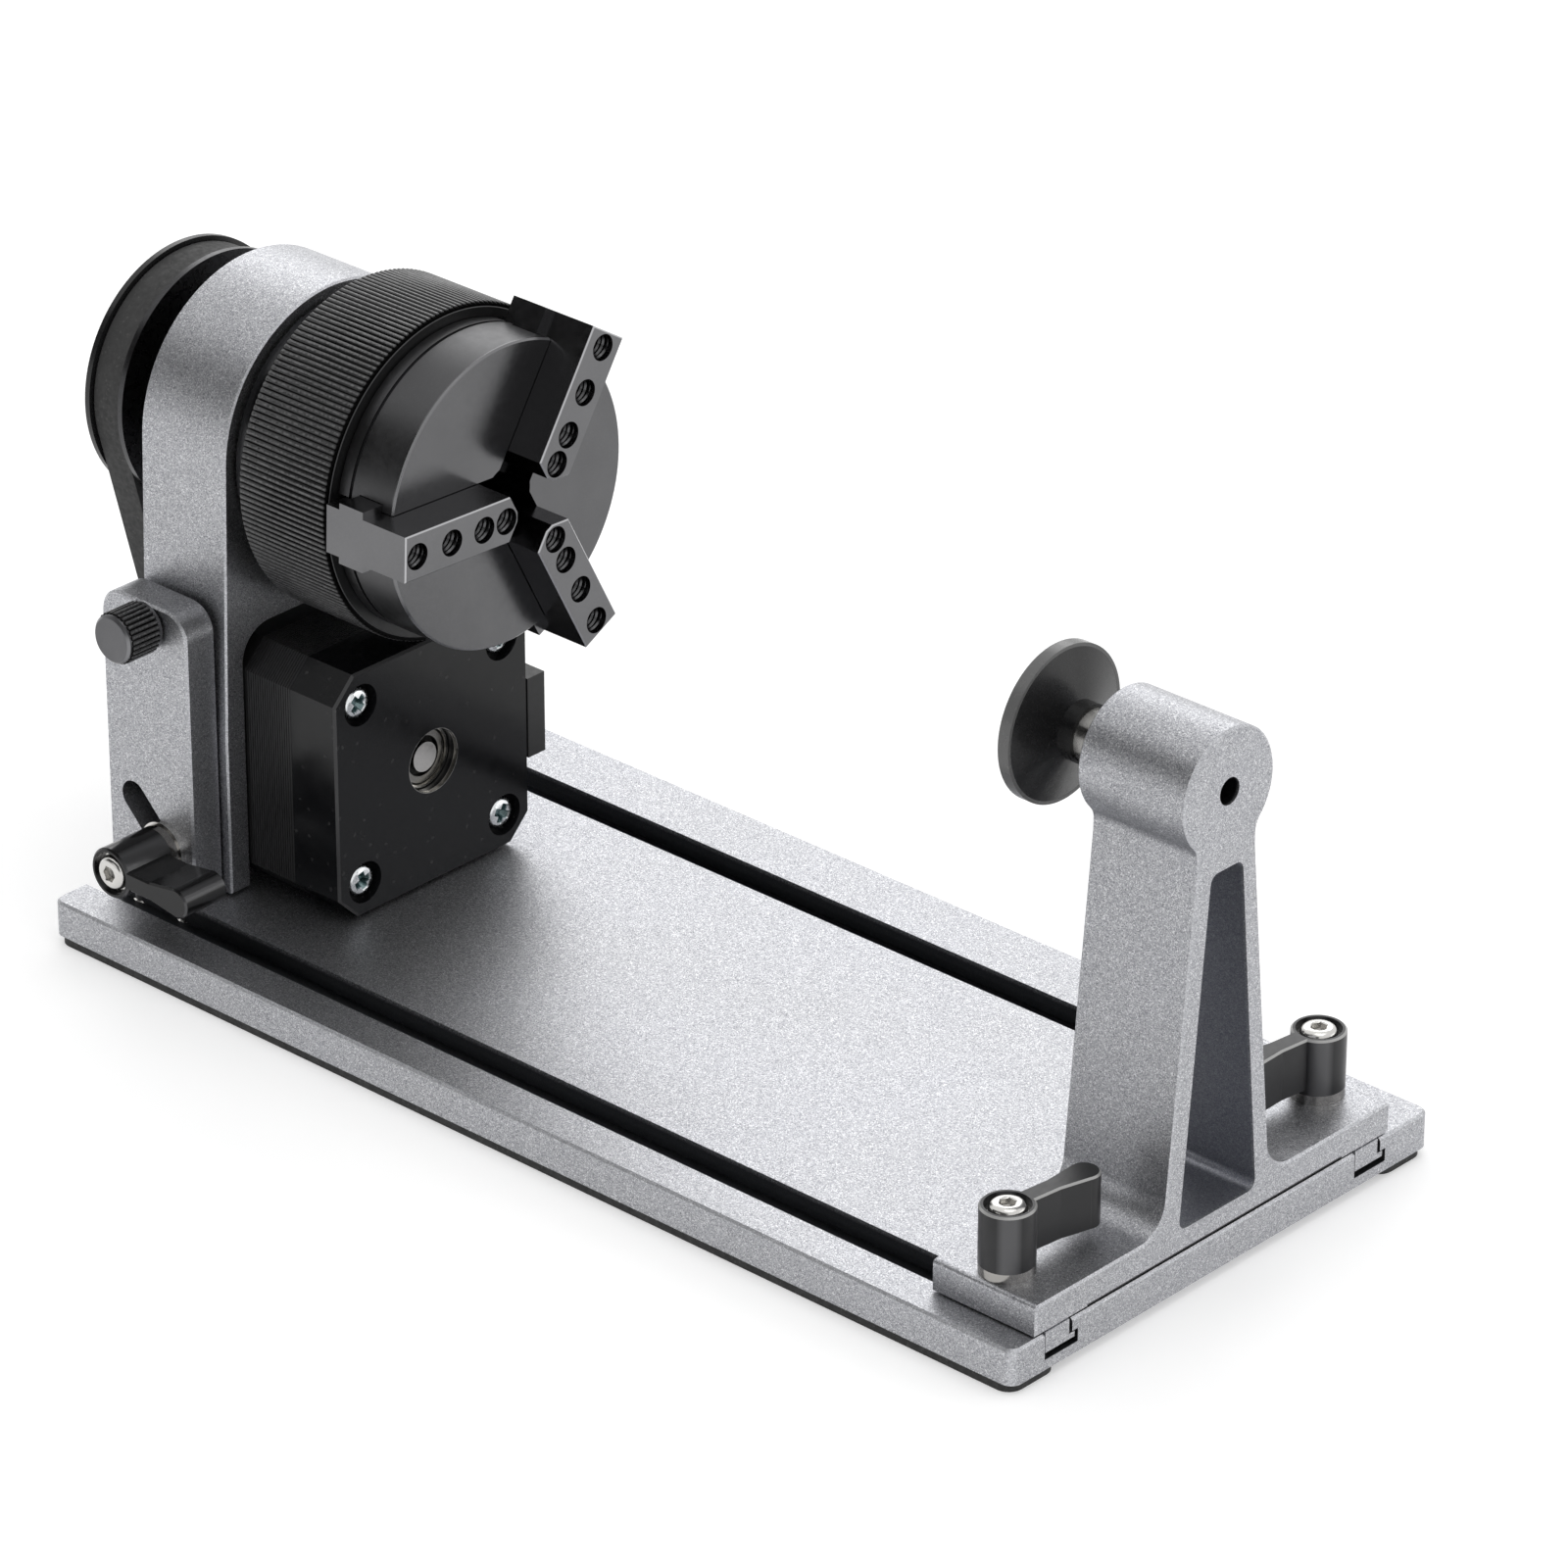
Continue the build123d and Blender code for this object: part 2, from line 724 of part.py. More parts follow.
with BuildPart() as motor_pulley:
    pulley(small_rim_radius, small_flange_radius, small_boss_radius, motor_shaft_radius + fixed_gap, motor_z)
    tube(
        pulley_inner - flange_thickness,
        pulley_inner,
        small_flange_radius,
        motor_shaft_radius + fixed_gap,
        motor_z,
    )
save(motor_pulley, "motor_pulley")


def belt_loop(gap):
    """Outline round both pulleys, at the given distance outside their rims."""
    with Locations(spindle_centre):
        Circle(big_rim_radius + gap)
    with Locations(motor_middle):
        Circle(small_rim_radius + gap)
    make_hull()


belt_rear = pulley_outer + flange_thickness + belt_side_gap
belt_front = pulley_inner - flange_thickness - belt_side_gap
with BuildPart() as drive_belt:
    with BuildSketch(plane_along(belt_rear)):
        belt_loop(seat_gap + belt_thickness)
    extrude(amount=belt_front - belt_rear)
    with BuildSketch(plane_along(belt_rear)):
        belt_loop(seat_gap)
    extrude(amount=belt_front - belt_rear, mode=Mode.SUBTRACT)
save(drive_belt, "drive_belt")

# Spindle bearings: outer ring with its shields as one closed piece, and inner ring
front_bearing = upright_front - bearing_inset - bearing_width
rear_bearing = upright_rear + bearing_inset
for start, name in ((front_bearing, "spindle_bearing_front"), (rear_bearing, "spindle_bearing_rear")):
    with BuildPart() as spindle_bearing:
        tube(start, start + bearing_width, bearing_outer_radius, inner_ring_radius + slide_gap, spindle_z)
    save(spindle_bearing, name)

with BuildPart() as bearing_inner_rings:
    for start in (front_bearing, rear_bearing):
        tube(start, start + bearing_width, inner_ring_radius, journal_radius + fixed_gap, spindle_z)
save(bearing_inner_rings, "bearing_inner_rings")

# Spindle: nose, shoulder, journal and pulley seat
shoulder_rear = upright_front - bearing_inset
with BuildPart() as spindle:
    turned(
        [
            (pulley_outer + seat_gap, 0),
            (pulley_outer + seat_gap, pulley_seat_radius),
            (boss_end, pulley_seat_radius),
            (boss_end, journal_radius),
            (shoulder_rear, journal_radius),
            (shoulder_rear, shoulder_radius),
            (back_plate_rear, shoulder_radius),
            (back_plate_rear, nose_radius),
            (back_plate_rear + nose_length, nose_radius),
            (back_plate_rear + nose_length, 0),
        ],
        spindle_z,
    )
save(spindle, "spindle")

# Chuck body: a disc with three radial T-slots on a hub that carries the scroll ring
jaw_bands = (
    (jaw_front, chuck_face - jaw_guide_from_face, jaw_width),
    (chuck_face - jaw_guide_from_face, chuck_face - jaw_guide_from_face - jaw_guide_depth, jaw_guide_width),
    (chuck_face - jaw_guide_from_face - jaw_guide_depth, jaw_back, jaw_tail_width),
)


def jaw_plane(x, angle):
    """Plane across X on the spindle axis, whose own X runs out along a jaw."""
    turn = math.radians(angle)
    return Plane(
        origin=(x, head_offset, spindle_z),
        x_dir=(0, math.cos(turn), math.sin(turn)),
        z_dir=(1, 0, 0),
    )


with BuildPart() as chuck_body:
    turned(
        [
            (back_plate_rear, nose_radius + fixed_gap),
            (back_plate_rear, hub_radius),
            (jaw_back + slide_gap, hub_radius),
            (jaw_back + slide_gap, recess_outer_radius),
            (body_rear, recess_outer_radius),
            (body_rear, body_radius),
            (chuck_face - groove_from_face - groove_width, body_radius),
            (chuck_face - groove_from_face - groove_width, body_radius - groove_depth),
            (chuck_face - groove_from_face, body_radius - groove_depth),
            (chuck_face - groove_from_face, body_radius),
            (chuck_face - body_edge, body_radius),
            (chuck_face, body_radius - body_edge),
            (chuck_face, centre_hole_radius),
            (back_plate_rear + nose_length, centre_hole_radius),
            (back_plate_rear + nose_length, nose_radius + fixed_gap),
        ],
        spindle_z,
    )
    for angle in jaw_angles:
        for front, back, width in jaw_bands:
            slot_back = body_rear if back == jaw_back else back - slide_gap
            slot_front = min(front, chuck_face)
            with BuildSketch(jaw_plane(slot_back, angle)):
                with Locations((body_radius, 0)):
                    Rectangle(2 * body_radius, width + 2 * slide_gap)
            extrude(amount=slot_front - slot_back, mode=Mode.SUBTRACT)
save(chuck_body, "chuck_body")

with BuildPart() as chuck_back_plate:
    tube(back_plate_rear, ring_rear - seat_gap, back_plate_radius, hub_radius + fixed_gap, spindle_z)
save(chuck_back_plate, "chuck_back_plate")


def spiral_band(start_radius, width, quarters):
    """Flat spiral band of quarter arcs; their four centres turn round the spindle axis."""
    quarter_rise = spiral_pitch / 4
    offset = quarter_rise / math.sqrt(2)

    def centre(quarter):
        direction = math.radians(135 + 90 * quarter)
        y = head_offset + offset * math.cos(direction)
        z = spindle_z + offset * math.sin(direction)
        return y, z

    def point(quarter, radius):
        y, z = centre(quarter)
        direction = math.radians(90 * quarter)
        return y + radius * math.cos(direction), z + radius * math.sin(direction)

    with BuildLine() as band:
        for quarter in range(quarters):
            middle = start_radius + quarter * quarter_rise
            for edge in (middle - width / 2, middle + width / 2):
                CenterArc(centre(quarter), edge, 90 * quarter, 90)
        for quarter in (0, quarters):
            middle = start_radius + quarter * quarter_rise
            Line(point(quarter, middle - width / 2), point(quarter, middle + width / 2))
    make_face(band.edges())


# Scroll ring: knurled outside, spiral ridge on its front face
with BuildPart() as scroll_ring:
    bore_radius = hub_radius + running_gap
    turned(
        [
            (ring_rear, bore_radius),
            (ring_rear, ring_radius - ring_edge),
            (ring_rear + ring_edge, ring_radius),
            (ring_front - ring_edge, ring_radius),
            (ring_front, ring_radius - ring_edge),
            (ring_front, bore_radius),
        ],
        spindle_z,
    )
    with BuildSketch(plane_along(ring_front)):
        spiral_band(spiral_start_radius, ridge_width, spiral_quarters)
    extrude(amount=ridge_height)
save(scroll_ring, "scroll_ring")

# Jaws: each has its teeth where the spiral's groove crosses it
jaw_slope = math.tan(math.radians(60))
groove_start_radius = spiral_start_radius - spiral_pitch / 2
for number, angle in enumerate(jaw_angles, start=1):
    with BuildPart() as jaw:
        for front, back, width in jaw_bands:
            half = width / 2
            tip_half = (jaw_tip_radius - jaw_apex_radius) * jaw_slope
            shoulder = jaw_apex_radius + half / jaw_slope
            with BuildSketch(jaw_plane(back, angle)):
                with BuildLine():
                    Polyline(
                        (jaw_tip_radius, -tip_half),
                        (shoulder, -half),
                        (jaw_outer_radius, -half),
                        (jaw_outer_radius, half),
                        (shoulder, half),
                        (jaw_tip_radius, tip_half),
                        close=True,
                    )
                make_face()
            extrude(amount=front - back)
        chamfer(jaw.faces().sort_by(Axis.X)[-1].edges(), length=jaw_edge)
        with BuildSketch(plane_along(tooth_tip)):
            spiral_band(groove_start_radius, tooth_width, spiral_quarters + groove_extra_quarters)
            with Locations(spindle_centre):
                turn = math.radians(angle)
                middle_radius = (groove_start_radius + jaw_outer_radius) / 2
                with Locations((middle_radius * math.cos(turn), middle_radius * math.sin(turn))):
                    Rectangle(
                        jaw_outer_radius - groove_start_radius,
                        2 * tooth_half_length,
                        rotation=angle,
                        mode=Mode.INTERSECT,
                    )
        extrude(amount=jaw_back - tooth_tip)
        for radius in jaw_hole_radii:
            with BuildSketch(jaw_plane(jaw_front, angle)):
                with Locations((radius, 0)):
                    Circle(jaw_hole_radius)
            extrude(amount=-jaw_hole_depth, mode=Mode.SUBTRACT)
    save(jaw, f"jaw_{number}")

# Tailstock: foot with two hooks, column with a window, and head, in one extruded profile
with BuildPart() as tailstock:
    foot_bottom = deck + seat_gap
    foot_top = deck + tail_foot_top
    with BuildSketch(plane_along(tail_face)) as profile:
        with Locations((head_offset, (foot_bottom + foot_top) / 2)):
            Rectangle(2 * tail_foot_half_width, foot_top - foot_bottom)
        fillet(profile.vertices().group_by(Axis.Y)[-1], radius=tail_foot_corner)
        with BuildLine():
            Polyline(
                (head_offset - tail_column_low_half, foot_top - tail_foot_corner),
                (head_offset - tail_column_low_half, foot_top),
                (head_offset - tail_column_high_half, deck + tail_column_top),
                (head_offset - tail_column_high_half, tail_axis_z),
                (head_offset + tail_column_high_half, tail_axis_z),
                (head_offset + tail_column_high_half, deck + tail_column_top),
                (head_offset + tail_column_low_half, foot_top),
                (head_offset + tail_column_low_half, foot_top - tail_foot_corner),
                close=True,
            )
        make_face()
        roots = [
            corner
            for corner in profile.vertices()
            if abs(abs(corner.X - head_offset) - tail_column_low_half) < 0.01
            and abs(corner.Y - foot_top) < 0.01
        ]
        fillet(roots, radius=tail_column_fillet)
        with Locations((head_offset, tail_axis_z)):
            Circle(tail_head_radius)
        necks = [
            corner
            for corner in profile.vertices()
            if abs(abs(corner.X - head_offset) - tail_column_high_half) < 0.01
            and tail_axis_z - tail_head_radius < corner.Y < tail_axis_z
        ]
        fillet(necks, radius=tail_neck_fillet)
    extrude(amount=tail_length)
    chamfer(tailstock.faces().filter_by(Axis.X).edges(), length=tail_edge)
    with BuildSketch(plane_along(tail_face)):
        with Locations((head_offset, foot_bottom + tail_relief_depth / 2)):
            Rectangle(2 * tail_relief_half, tail_relief_depth)
    extrude(amount=tail_length, mode=Mode.SUBTRACT)
    with BuildSketch(plane_along(tail_face)) as window:
        with BuildLine():
            Polyline(
                (head_offset - window_low_half, deck + window_bottom),
                (head_offset + window_low_half, deck + window_bottom),
                (head_offset + window_high_half, deck + window_top),
                (head_offset - window_high_half, deck + window_top),
                close=True,
            )
        make_face()
        fillet(window.vertices(), radius=window_corner)
    extrude(amount=tail_length, mode=Mode.SUBTRACT)
    hook_low = deck - slot_depth + hook_floor_gap
    hook_top = deck - lip_thickness - hook_lip_gap
    with BuildSketch(plane_along(tail_face)):
        for side in (-1, 1):
            hook_near = head_offset + side * slot_spacing - slot_width / 2 + slide_gap
            with Locations((hook_near, hook_low)):
                Rectangle(hook_width, foot_bottom - hook_low, align=(Align.MIN, Align.MIN))
                tongue_width = slot_width - slide_gap + hook_reach
                Rectangle(tongue_width, hook_top - hook_low, align=(Align.MIN, Align.MIN))
    extrude(amount=tail_length)
    bore(tail_face, base_front, end_hole_radius, (head_offset, tail_axis_z))
    bearing_end = tail_face + 2 * tail_bearing_width + seat_gap
    bore(tail_face, bearing_end, tail_bearing_radius + fixed_gap, (head_offset, tail_axis_z))
    for side in (-1, 1):
        with BuildSketch(Plane.XY.offset(foot_top)):
            with Locations((base_front - tail_length / 2, head_offset + side * slot_spacing)):
                Circle(lever_screw_radius + running_gap)
        extrude(amount=hook_low - foot_top, mode=Mode.SUBTRACT)
save(tailstock, "tailstock")

with BuildPart() as tail_bearings:
    for index in (0, 1):
        start = tail_face + slide_gap + index * (tail_bearing_width + slide_gap)
        tube(
            start,
            start + tail_bearing_width,
            tail_bearing_radius,
            tail_shaft_radius + running_gap,
            tail_axis_z,
        )
save(tail_bearings, "tail_bearings")

# Tail disc on its shaft
disc_front = tail_face - disc_gap - disc_rim
hub_end = disc_front + disc_rim + disc_hub_length
with BuildPart() as tail_disc:
    turned(
        [
            (disc_front, 0),
            (disc_front, disc_radius),
            (disc_front + disc_rim, disc_radius),
            (disc_front + disc_rim, disc_radius - disc_edge),
            (hub_end - disc_hub_length / 2, disc_hub_radius),
            (hub_end, disc_hub_radius),
            (hub_end, tail_shaft_radius + fixed_gap),
            (disc_front + disc_rim, tail_shaft_radius + fixed_gap),
            (disc_front + disc_rim, 0),
        ],
        tail_axis_z,
    )
save(tail_disc, "tail_disc")

with BuildPart() as tail_shaft:
    turned(
        [
            (disc_front + disc_rim + slide_gap, 0),
            (disc_front + disc_rim + slide_gap, tail_shaft_radius),
            (tail_face + 2 * tail_bearing_width, tail_shaft_radius),
            (tail_face + 2 * tail_bearing_width, 0),
        ],
        tail_axis_z,
    )
save(tail_shaft, "tail_shaft")

with BuildPart() as tail_spacer:
    tube(hub_end, tail_face - slide_gap, spacer_radius, tail_shaft_radius + fixed_gap, tail_axis_z)
save(tail_spacer, "tail_spacer")

# Foot levers: their screws pass the hooks and press on the slot floors
screw_reach = tail_foot_top + slot_depth - screw_floor_gap
for side, name in ((-1, "foot_lever_near"), (1, "foot_lever_far")):
    turn = math.radians(foot_lever_angle if side < 0 else foot_lever_angle + 180)
    lever_plane = Plane(
        origin=(base_front - tail_length / 2, head_offset + side * slot_spacing, foot_top),
        x_dir=(math.cos(turn), math.sin(turn), 0),
        z_dir=(0, 0, 1),
    )
    save_lever(lever_plane, name, lever_screw_radius, screw_reach)
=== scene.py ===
import json
import math

import bmesh
import bpy
from mathutils import Matrix, Vector


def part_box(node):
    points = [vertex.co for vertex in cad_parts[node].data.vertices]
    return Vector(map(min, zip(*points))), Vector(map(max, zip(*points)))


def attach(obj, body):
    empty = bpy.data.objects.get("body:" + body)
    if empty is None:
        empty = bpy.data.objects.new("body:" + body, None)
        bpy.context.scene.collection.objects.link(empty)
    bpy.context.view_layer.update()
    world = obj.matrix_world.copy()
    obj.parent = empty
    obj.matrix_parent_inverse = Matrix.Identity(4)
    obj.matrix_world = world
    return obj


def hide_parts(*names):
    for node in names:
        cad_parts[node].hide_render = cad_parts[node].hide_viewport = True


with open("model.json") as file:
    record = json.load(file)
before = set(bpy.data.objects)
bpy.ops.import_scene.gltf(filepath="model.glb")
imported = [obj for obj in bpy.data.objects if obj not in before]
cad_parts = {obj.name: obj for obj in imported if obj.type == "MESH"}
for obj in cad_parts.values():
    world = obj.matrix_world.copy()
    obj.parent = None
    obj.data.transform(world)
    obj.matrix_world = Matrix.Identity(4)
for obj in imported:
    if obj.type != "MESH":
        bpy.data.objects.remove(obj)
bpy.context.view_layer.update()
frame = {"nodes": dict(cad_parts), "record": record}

# Looks of the laser rotary chuck: its finishes, and the knurls, threads, laminations, screws,
# bearing rings, belt teeth and rubber strips round the CAD pieces.
# Everything is in metres in the frame of the CAD, +Z up, +X from the headstock to the tailstock.

MM = 0.001
record = frame["record"]
slot_of = {part["node"]: part["material_slot"] for part in record["subparts"]}
mount_of = {mount["name"]: mount for mount in record["mounts"]}


def middle(node):
    """Middle of a node's box."""
    low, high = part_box(node)
    return (low + high) / 2


def half_height(node):
    """Half of a node's size along Z, which is the radius of a round one."""
    low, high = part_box(node)
    return (high.z - low.z) / 2


# Sizes of the CAD that no node's box gives
spiral_height = 1.6 * MM
jaw_hole_radii = (7.2 * MM, 11.95 * MM, 18.85 * MM, 26.2 * MM)
motor_cut = 4.2 * MM
bearing_mouth = 5.35 * MM
head_radius = 2.7 * MM
column_low_half = 11.95 * MM
column_high_half = 6.4 * MM
column_height = 62.0 * MM
window_low_half = 8.7 * MM
relief_half = 28.75 * MM
rim_big = 18.8 * MM
rim_small = 6.1 * MM
belt_gap = 0.3 * MM

# Places and sizes read from the frame
deck_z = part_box("base_plate")[1].z
spindle_y = middle("chuck_back_plate").y
spindle_z = middle("chuck_back_plate").z
ring_low, ring_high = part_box("scroll_ring")
ring_radius = half_height("scroll_ring")
chuck_face_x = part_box("chuck_body")[1].x
barrel_radius = half_height("chuck_body")
flank_half = (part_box("upright")[1].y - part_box("upright")[0].y) / 2
plate_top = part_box("side_plate_near")[1].z
plate_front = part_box("side_plate_near")[1].x
motor_z = middle("motor_rear_cap").z
motor_face_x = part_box("motor_rear_cap")[1].x
screw_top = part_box("motor_case_screws")[1].x
screw_spacing_half = half_height("motor_case_screws") - head_radius
tail_axis_z = middle("tail_disc").z
disc_radius = half_height("tail_disc")


# Node materials
class Look:
    """One procedural material on the object's own coordinates."""

    def __init__(self, name, metallic=0.0):
        self.material = bpy.data.materials.new(name)
        self.material.use_nodes = True
        self.tree = self.material.node_tree
        self.shader = self.tree.nodes["Principled BSDF"]
        self.shader.inputs["Metallic"].default_value = metallic
        sources = self.node("ShaderNodeTexCoord").outputs
        self.place = sources["Object"]
        self.normal = sources["Normal"]
        self.coordinate = self.axes(self.place)
        self.tint = None

    def node(self, kind, **settings):
        """Add a node with the given settings."""
        made = self.tree.nodes.new(kind)
        for key, value in settings.items():
            setattr(made, key, value)
        return made

    def feed(self, socket, value):
        """Link an output to a socket, or set the socket's own value."""
        if isinstance(value, bpy.types.NodeSocket):
            self.tree.links.new(value, socket)
        else:
            socket.default_value = value

    def math(self, operation, first, second=0.0):
        """Result of one math operation on values or outputs."""
        made = self.node("ShaderNodeMath", operation=operation)
        self.feed(made.inputs[0], first)
        self.feed(made.inputs[1], second)
        return made.outputs[0]

    def product(self, first, *factors):
        """Product of two or more values or outputs."""
        for factor in factors:
            first = self.math("MULTIPLY", first, factor)
        return first

    def ranged(self, value, low, high, new_low=0.0, new_high=1.0):
        """Value carried from the range low to high over to the new range, and held at its ends."""
        made = self.node("ShaderNodeMapRange", clamp=True)
        self.feed(made.inputs["Value"], value)
        made.inputs["From Min"].default_value = low
        made.inputs["From Max"].default_value = high
        made.inputs["To Min"].default_value = new_low
        made.inputs["To Max"].default_value = new_high
        return made.outputs["Result"]

    def noise(self, size, detail=2.0, stretch=(1, 1, 1)):
        """Noise whose blotches are about `size` metres wide."""
        scaled = self.node("ShaderNodeMapping")
        self.feed(scaled.inputs["Vector"], self.place)
        scaled.inputs["Scale"].default_value = stretch
        made = self.node("ShaderNodeTexNoise")
        self.feed(made.inputs["Vector"], scaled.outputs["Vector"])
        made.inputs["Scale"].default_value = 1 / size
        made.inputs["Detail"].default_value = detail
        return made.outputs["Fac"]

    def grains(self, size):
        """A random value from 0 to 1 on each grain of about `size` metres."""
        made = self.node("ShaderNodeTexVoronoi", feature="F1")
        self.feed(made.inputs["Vector"], self.place)
        made.inputs["Scale"].default_value = 1 / size
        parts = self.node("ShaderNodeSeparateColor")
        self.feed(parts.inputs["Color"], made.outputs["Color"])
        return parts.outputs["Red"]

    def axes(self, source):
        """X, Y and Z of a vector."""
        parts = self.node("ShaderNodeSeparateXYZ")
        self.feed(parts.inputs[0], source)
        return parts.outputs

    def distance(self, axis, place):
        """Distance along X, Y or Z from a place."""
        return self.math("ABSOLUTE", self.math("SUBTRACT", self.coordinate[axis], place))

    def hypotenuse(self, first, second):
        """Length of the slope over two lengths."""
        squares = self.math("ADD", self.math("POWER", first, 2.0), self.math("POWER", second, 2.0))
        return self.math("SQRT", squares)

    def from_axis(self, across, z, along="X"):
        """Distance from an axis along X or Y, which stands at the given place across it and height."""
        other = "Y" if along == "X" else "X"
        return self.hypotenuse(self.distance(other, across), self.distance("Z", z))

    def mix(self, share, first, second):
        """First colour where share is 0, second where it is 1."""
        made = self.node("ShaderNodeMix", data_type="RGBA")
        self.feed(made.inputs["Factor"], share)
        for socket, colour in ((made.inputs[6], first), (made.inputs[7], second)):
            self.feed(socket, (*colour, 1) if isinstance(colour, tuple) else colour)
        return made.outputs[2]

    def shade(self, share, colour):
        """Lay a colour over what the look has so far, where share is above 0."""
        self.tint = self.mix(share, self.tint, colour)

    def edges(self, every_way=False, axis=0):
        """1 on the small chamfers whose normals stand between the given axis and another, or any two."""
        x, y, z = (self.math("ABSOLUTE", part) for part in self.axes(self.normal))
        if every_way:
            across = self.math("ADD", self.product(y, z), self.product(x, z))
            across = self.math("ADD", across, self.product(x, y))
        else:
            chosen = (x, y, z)[axis]
            rest = self.math("SQRT", self.math("SUBTRACT", 1.0, self.product(chosen, chosen)))
            across = self.product(chosen, rest)
        return self.ranged(across, 0.3, 0.46)

    def finish(self, bump, bump_depth, rough):
        """Link the tint, roughness and bump to the shader."""
        self.feed(self.shader.inputs["Base Color"], self.tint)
        self.feed(self.shader.inputs["Roughness"], rough)
        made = self.node("ShaderNodeBump")
        made.inputs["Strength"].default_value = 1.0
        made.inputs["Distance"].default_value = bump_depth
        self.feed(made.inputs["Height"], bump)
        self.feed(self.shader.inputs["Normal"], made.outputs["Normal"])
        return self.material


def scaled_colour(colour, factor):
    """Colour made lighter or darker, up to white."""
    return tuple(min(1.0, part * factor) for part in colour)


def slot_painted_shade(look):
    """Painted shade: darken the insides of the base's slots below their lips, but not its two end faces."""
    low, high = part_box("base_plate")
    between_rails = look.ranged(look.distance("Y", spindle_y), 41 * MM, 40.5 * MM)
    deep = look.ranged(look.coordinate["Z"], deck_z - 0.35 * MM, deck_z - 0.9 * MM)
    over_bottom = look.ranged(look.coordinate["Z"], 1.9 * MM, 2.2 * MM)
    before_end = look.math("LESS_THAN", look.coordinate["X"], high.x - 0.02 * MM)
    past_start = look.math("GREATER_THAN", look.coordinate["X"], low.x + 0.02 * MM)
    dark = look.product(between_rails, deep, over_bottom, before_end, past_start, 0.9)
    look.shade(dark, (0.10, 0.104, 0.112))


def flank_painted_shade(look):
    """Painted shade: darken the upright's flanks where the side plates cover them."""
    flank = look.ranged(look.distance("Y", spindle_y), flank_half - 0.12 * MM, flank_half - 0.04 * MM)
    covered = look.ranged(look.coordinate["Z"], plate_top - 1.0 * MM, plate_top - 3.0 * MM)
    behind = look.ranged(look.coordinate["X"], plate_front - 1.4 * MM, plate_front - 1.9 * MM)
    look.shade(look.product(flank, covered, behind, 0.94), (0.022, 0.022, 0.024))


def tailstock_painted_shade(look):
    """Painted shade: darken the seam under the tailstock's foot, the walls of its window and the hole in
    its head.
    """
    x = look.coordinate["X"]
    z = look.coordinate["Z"]
    outward = look.distance("Y", spindle_y)
    # Painted shadow in the seam under the foot.
    under_foot = look.ranged(z, deck_z + 0.98 * MM, deck_z + 0.88 * MM)
    over_deck = look.ranged(z, deck_z - 0.05 * MM, deck_z)
    in_relief = look.ranged(outward, relief_half + 0.1 * MM, relief_half)
    look.shade(look.product(under_foot, over_deck, in_relief, 0.95), (0.012, 0.012, 0.013))

    low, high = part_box("tailstock")
    before_end = look.ranged(x, high.x - 0.25 * MM, high.x - 0.6 * MM)
    past_start = look.ranged(x, low.x + 0.25 * MM, low.x + 0.6 * MM)
    # Painted shade on the inner walls of the window.
    narrowing = (column_low_half - column_high_half) / column_height
    wall_middle = look.product(look.math("SUBTRACT", z, deck_z), -narrowing)
    wall_middle = look.math("ADD", wall_middle, (column_low_half + window_low_half) / 2)
    in_walls = look.math("LESS_THAN", outward, wall_middle)
    below_head = look.ranged(z, deck_z + 61.2 * MM, deck_z + 61.0 * MM)
    above_foot = look.ranged(z, deck_z + 3.0 * MM, deck_z + 3.2 * MM)
    window = look.product(below_head, above_foot, in_walls, before_end, past_start, 0.5)
    look.shade(window, (0.20, 0.21, 0.25))

    # Painted shade inside the hole in the head.
    hole = look.ranged(look.from_axis(spindle_y, tail_axis_z), 2.2 * MM, 2.16 * MM)
    look.shade(look.product(hole, before_end, 0.9), (0.02, 0.02, 0.022))


def blasted_aluminium(name, shade_painter=None, every_way=False):
    """Bead-blasted anodised aluminium: cool grey, with a fine sparkle of light and dark grains.

    The second argument is a function that paints shade on one piece's own places. The chamfers get a
    painted highlight, and every_way paints it on the edges along X as well.
    """
    grey = (0.41, 0.413, 0.427)
    look = Look(name, metallic=1.0)
    look.tint = look.mix(look.noise(30 * MM), scaled_colour(grey, 0.93), (0.415, 0.42, 0.45))
    grain = look.grains(0.14 * MM)
    look.shade(look.ranged(grain, 0.34, 0.0, 0.0, 0.9), (0.17, 0.173, 0.188))
    look.shade(look.ranged(grain, 0.72, 1.0, 0.0, 0.85), (0.80, 0.805, 0.82))
    # Painted highlight on the chamfers.
    look.shade(look.product(look.edges(every_way), 0.22), (0.75, 0.76, 0.79))
    if shade_painter is not None:
        shade_painter(look)
    rough = look.ranged(look.noise(0.5 * MM), 0.3, 0.7, 0.37, 0.47)
    height = look.math("ADD", look.noise(0.14 * MM, 3.0), look.product(grain, 0.3))
    return look.finish(height, 0.017 * MM, rough)


def knurl_wear_and_painted_light(look, radius, crest):
    """Lighten a knurl's ridges below the given crest radius, partly as rubbed wear and partly as painted
    highlight, and paint shade in its valleys and keep them dull.
    """
    # Rubbed wear and painted highlight on the crests, patchy along the knurl.
    worn = look.ranged(radius, crest - 0.05 * MM, crest - 0.01 * MM)
    rubbed = look.ranged(look.noise(0.45 * MM, 3.0), 0.4, 0.62, 0.25, 1.0)
    look.shade(look.product(worn, rubbed, 0.6), (0.18, 0.18, 0.183))
    # Painted shade in the knurl's valleys.
    look.shade(look.ranged(radius, crest - 0.1 * MM, crest - 0.2 * MM), (0.0015, 0.0015, 0.0015))
    sheen = look.ranged(radius, crest - 0.2 * MM, crest - 0.06 * MM, 0.02, 0.42)
    look.feed(look.shader.inputs["Specular IOR Level"], sheen)


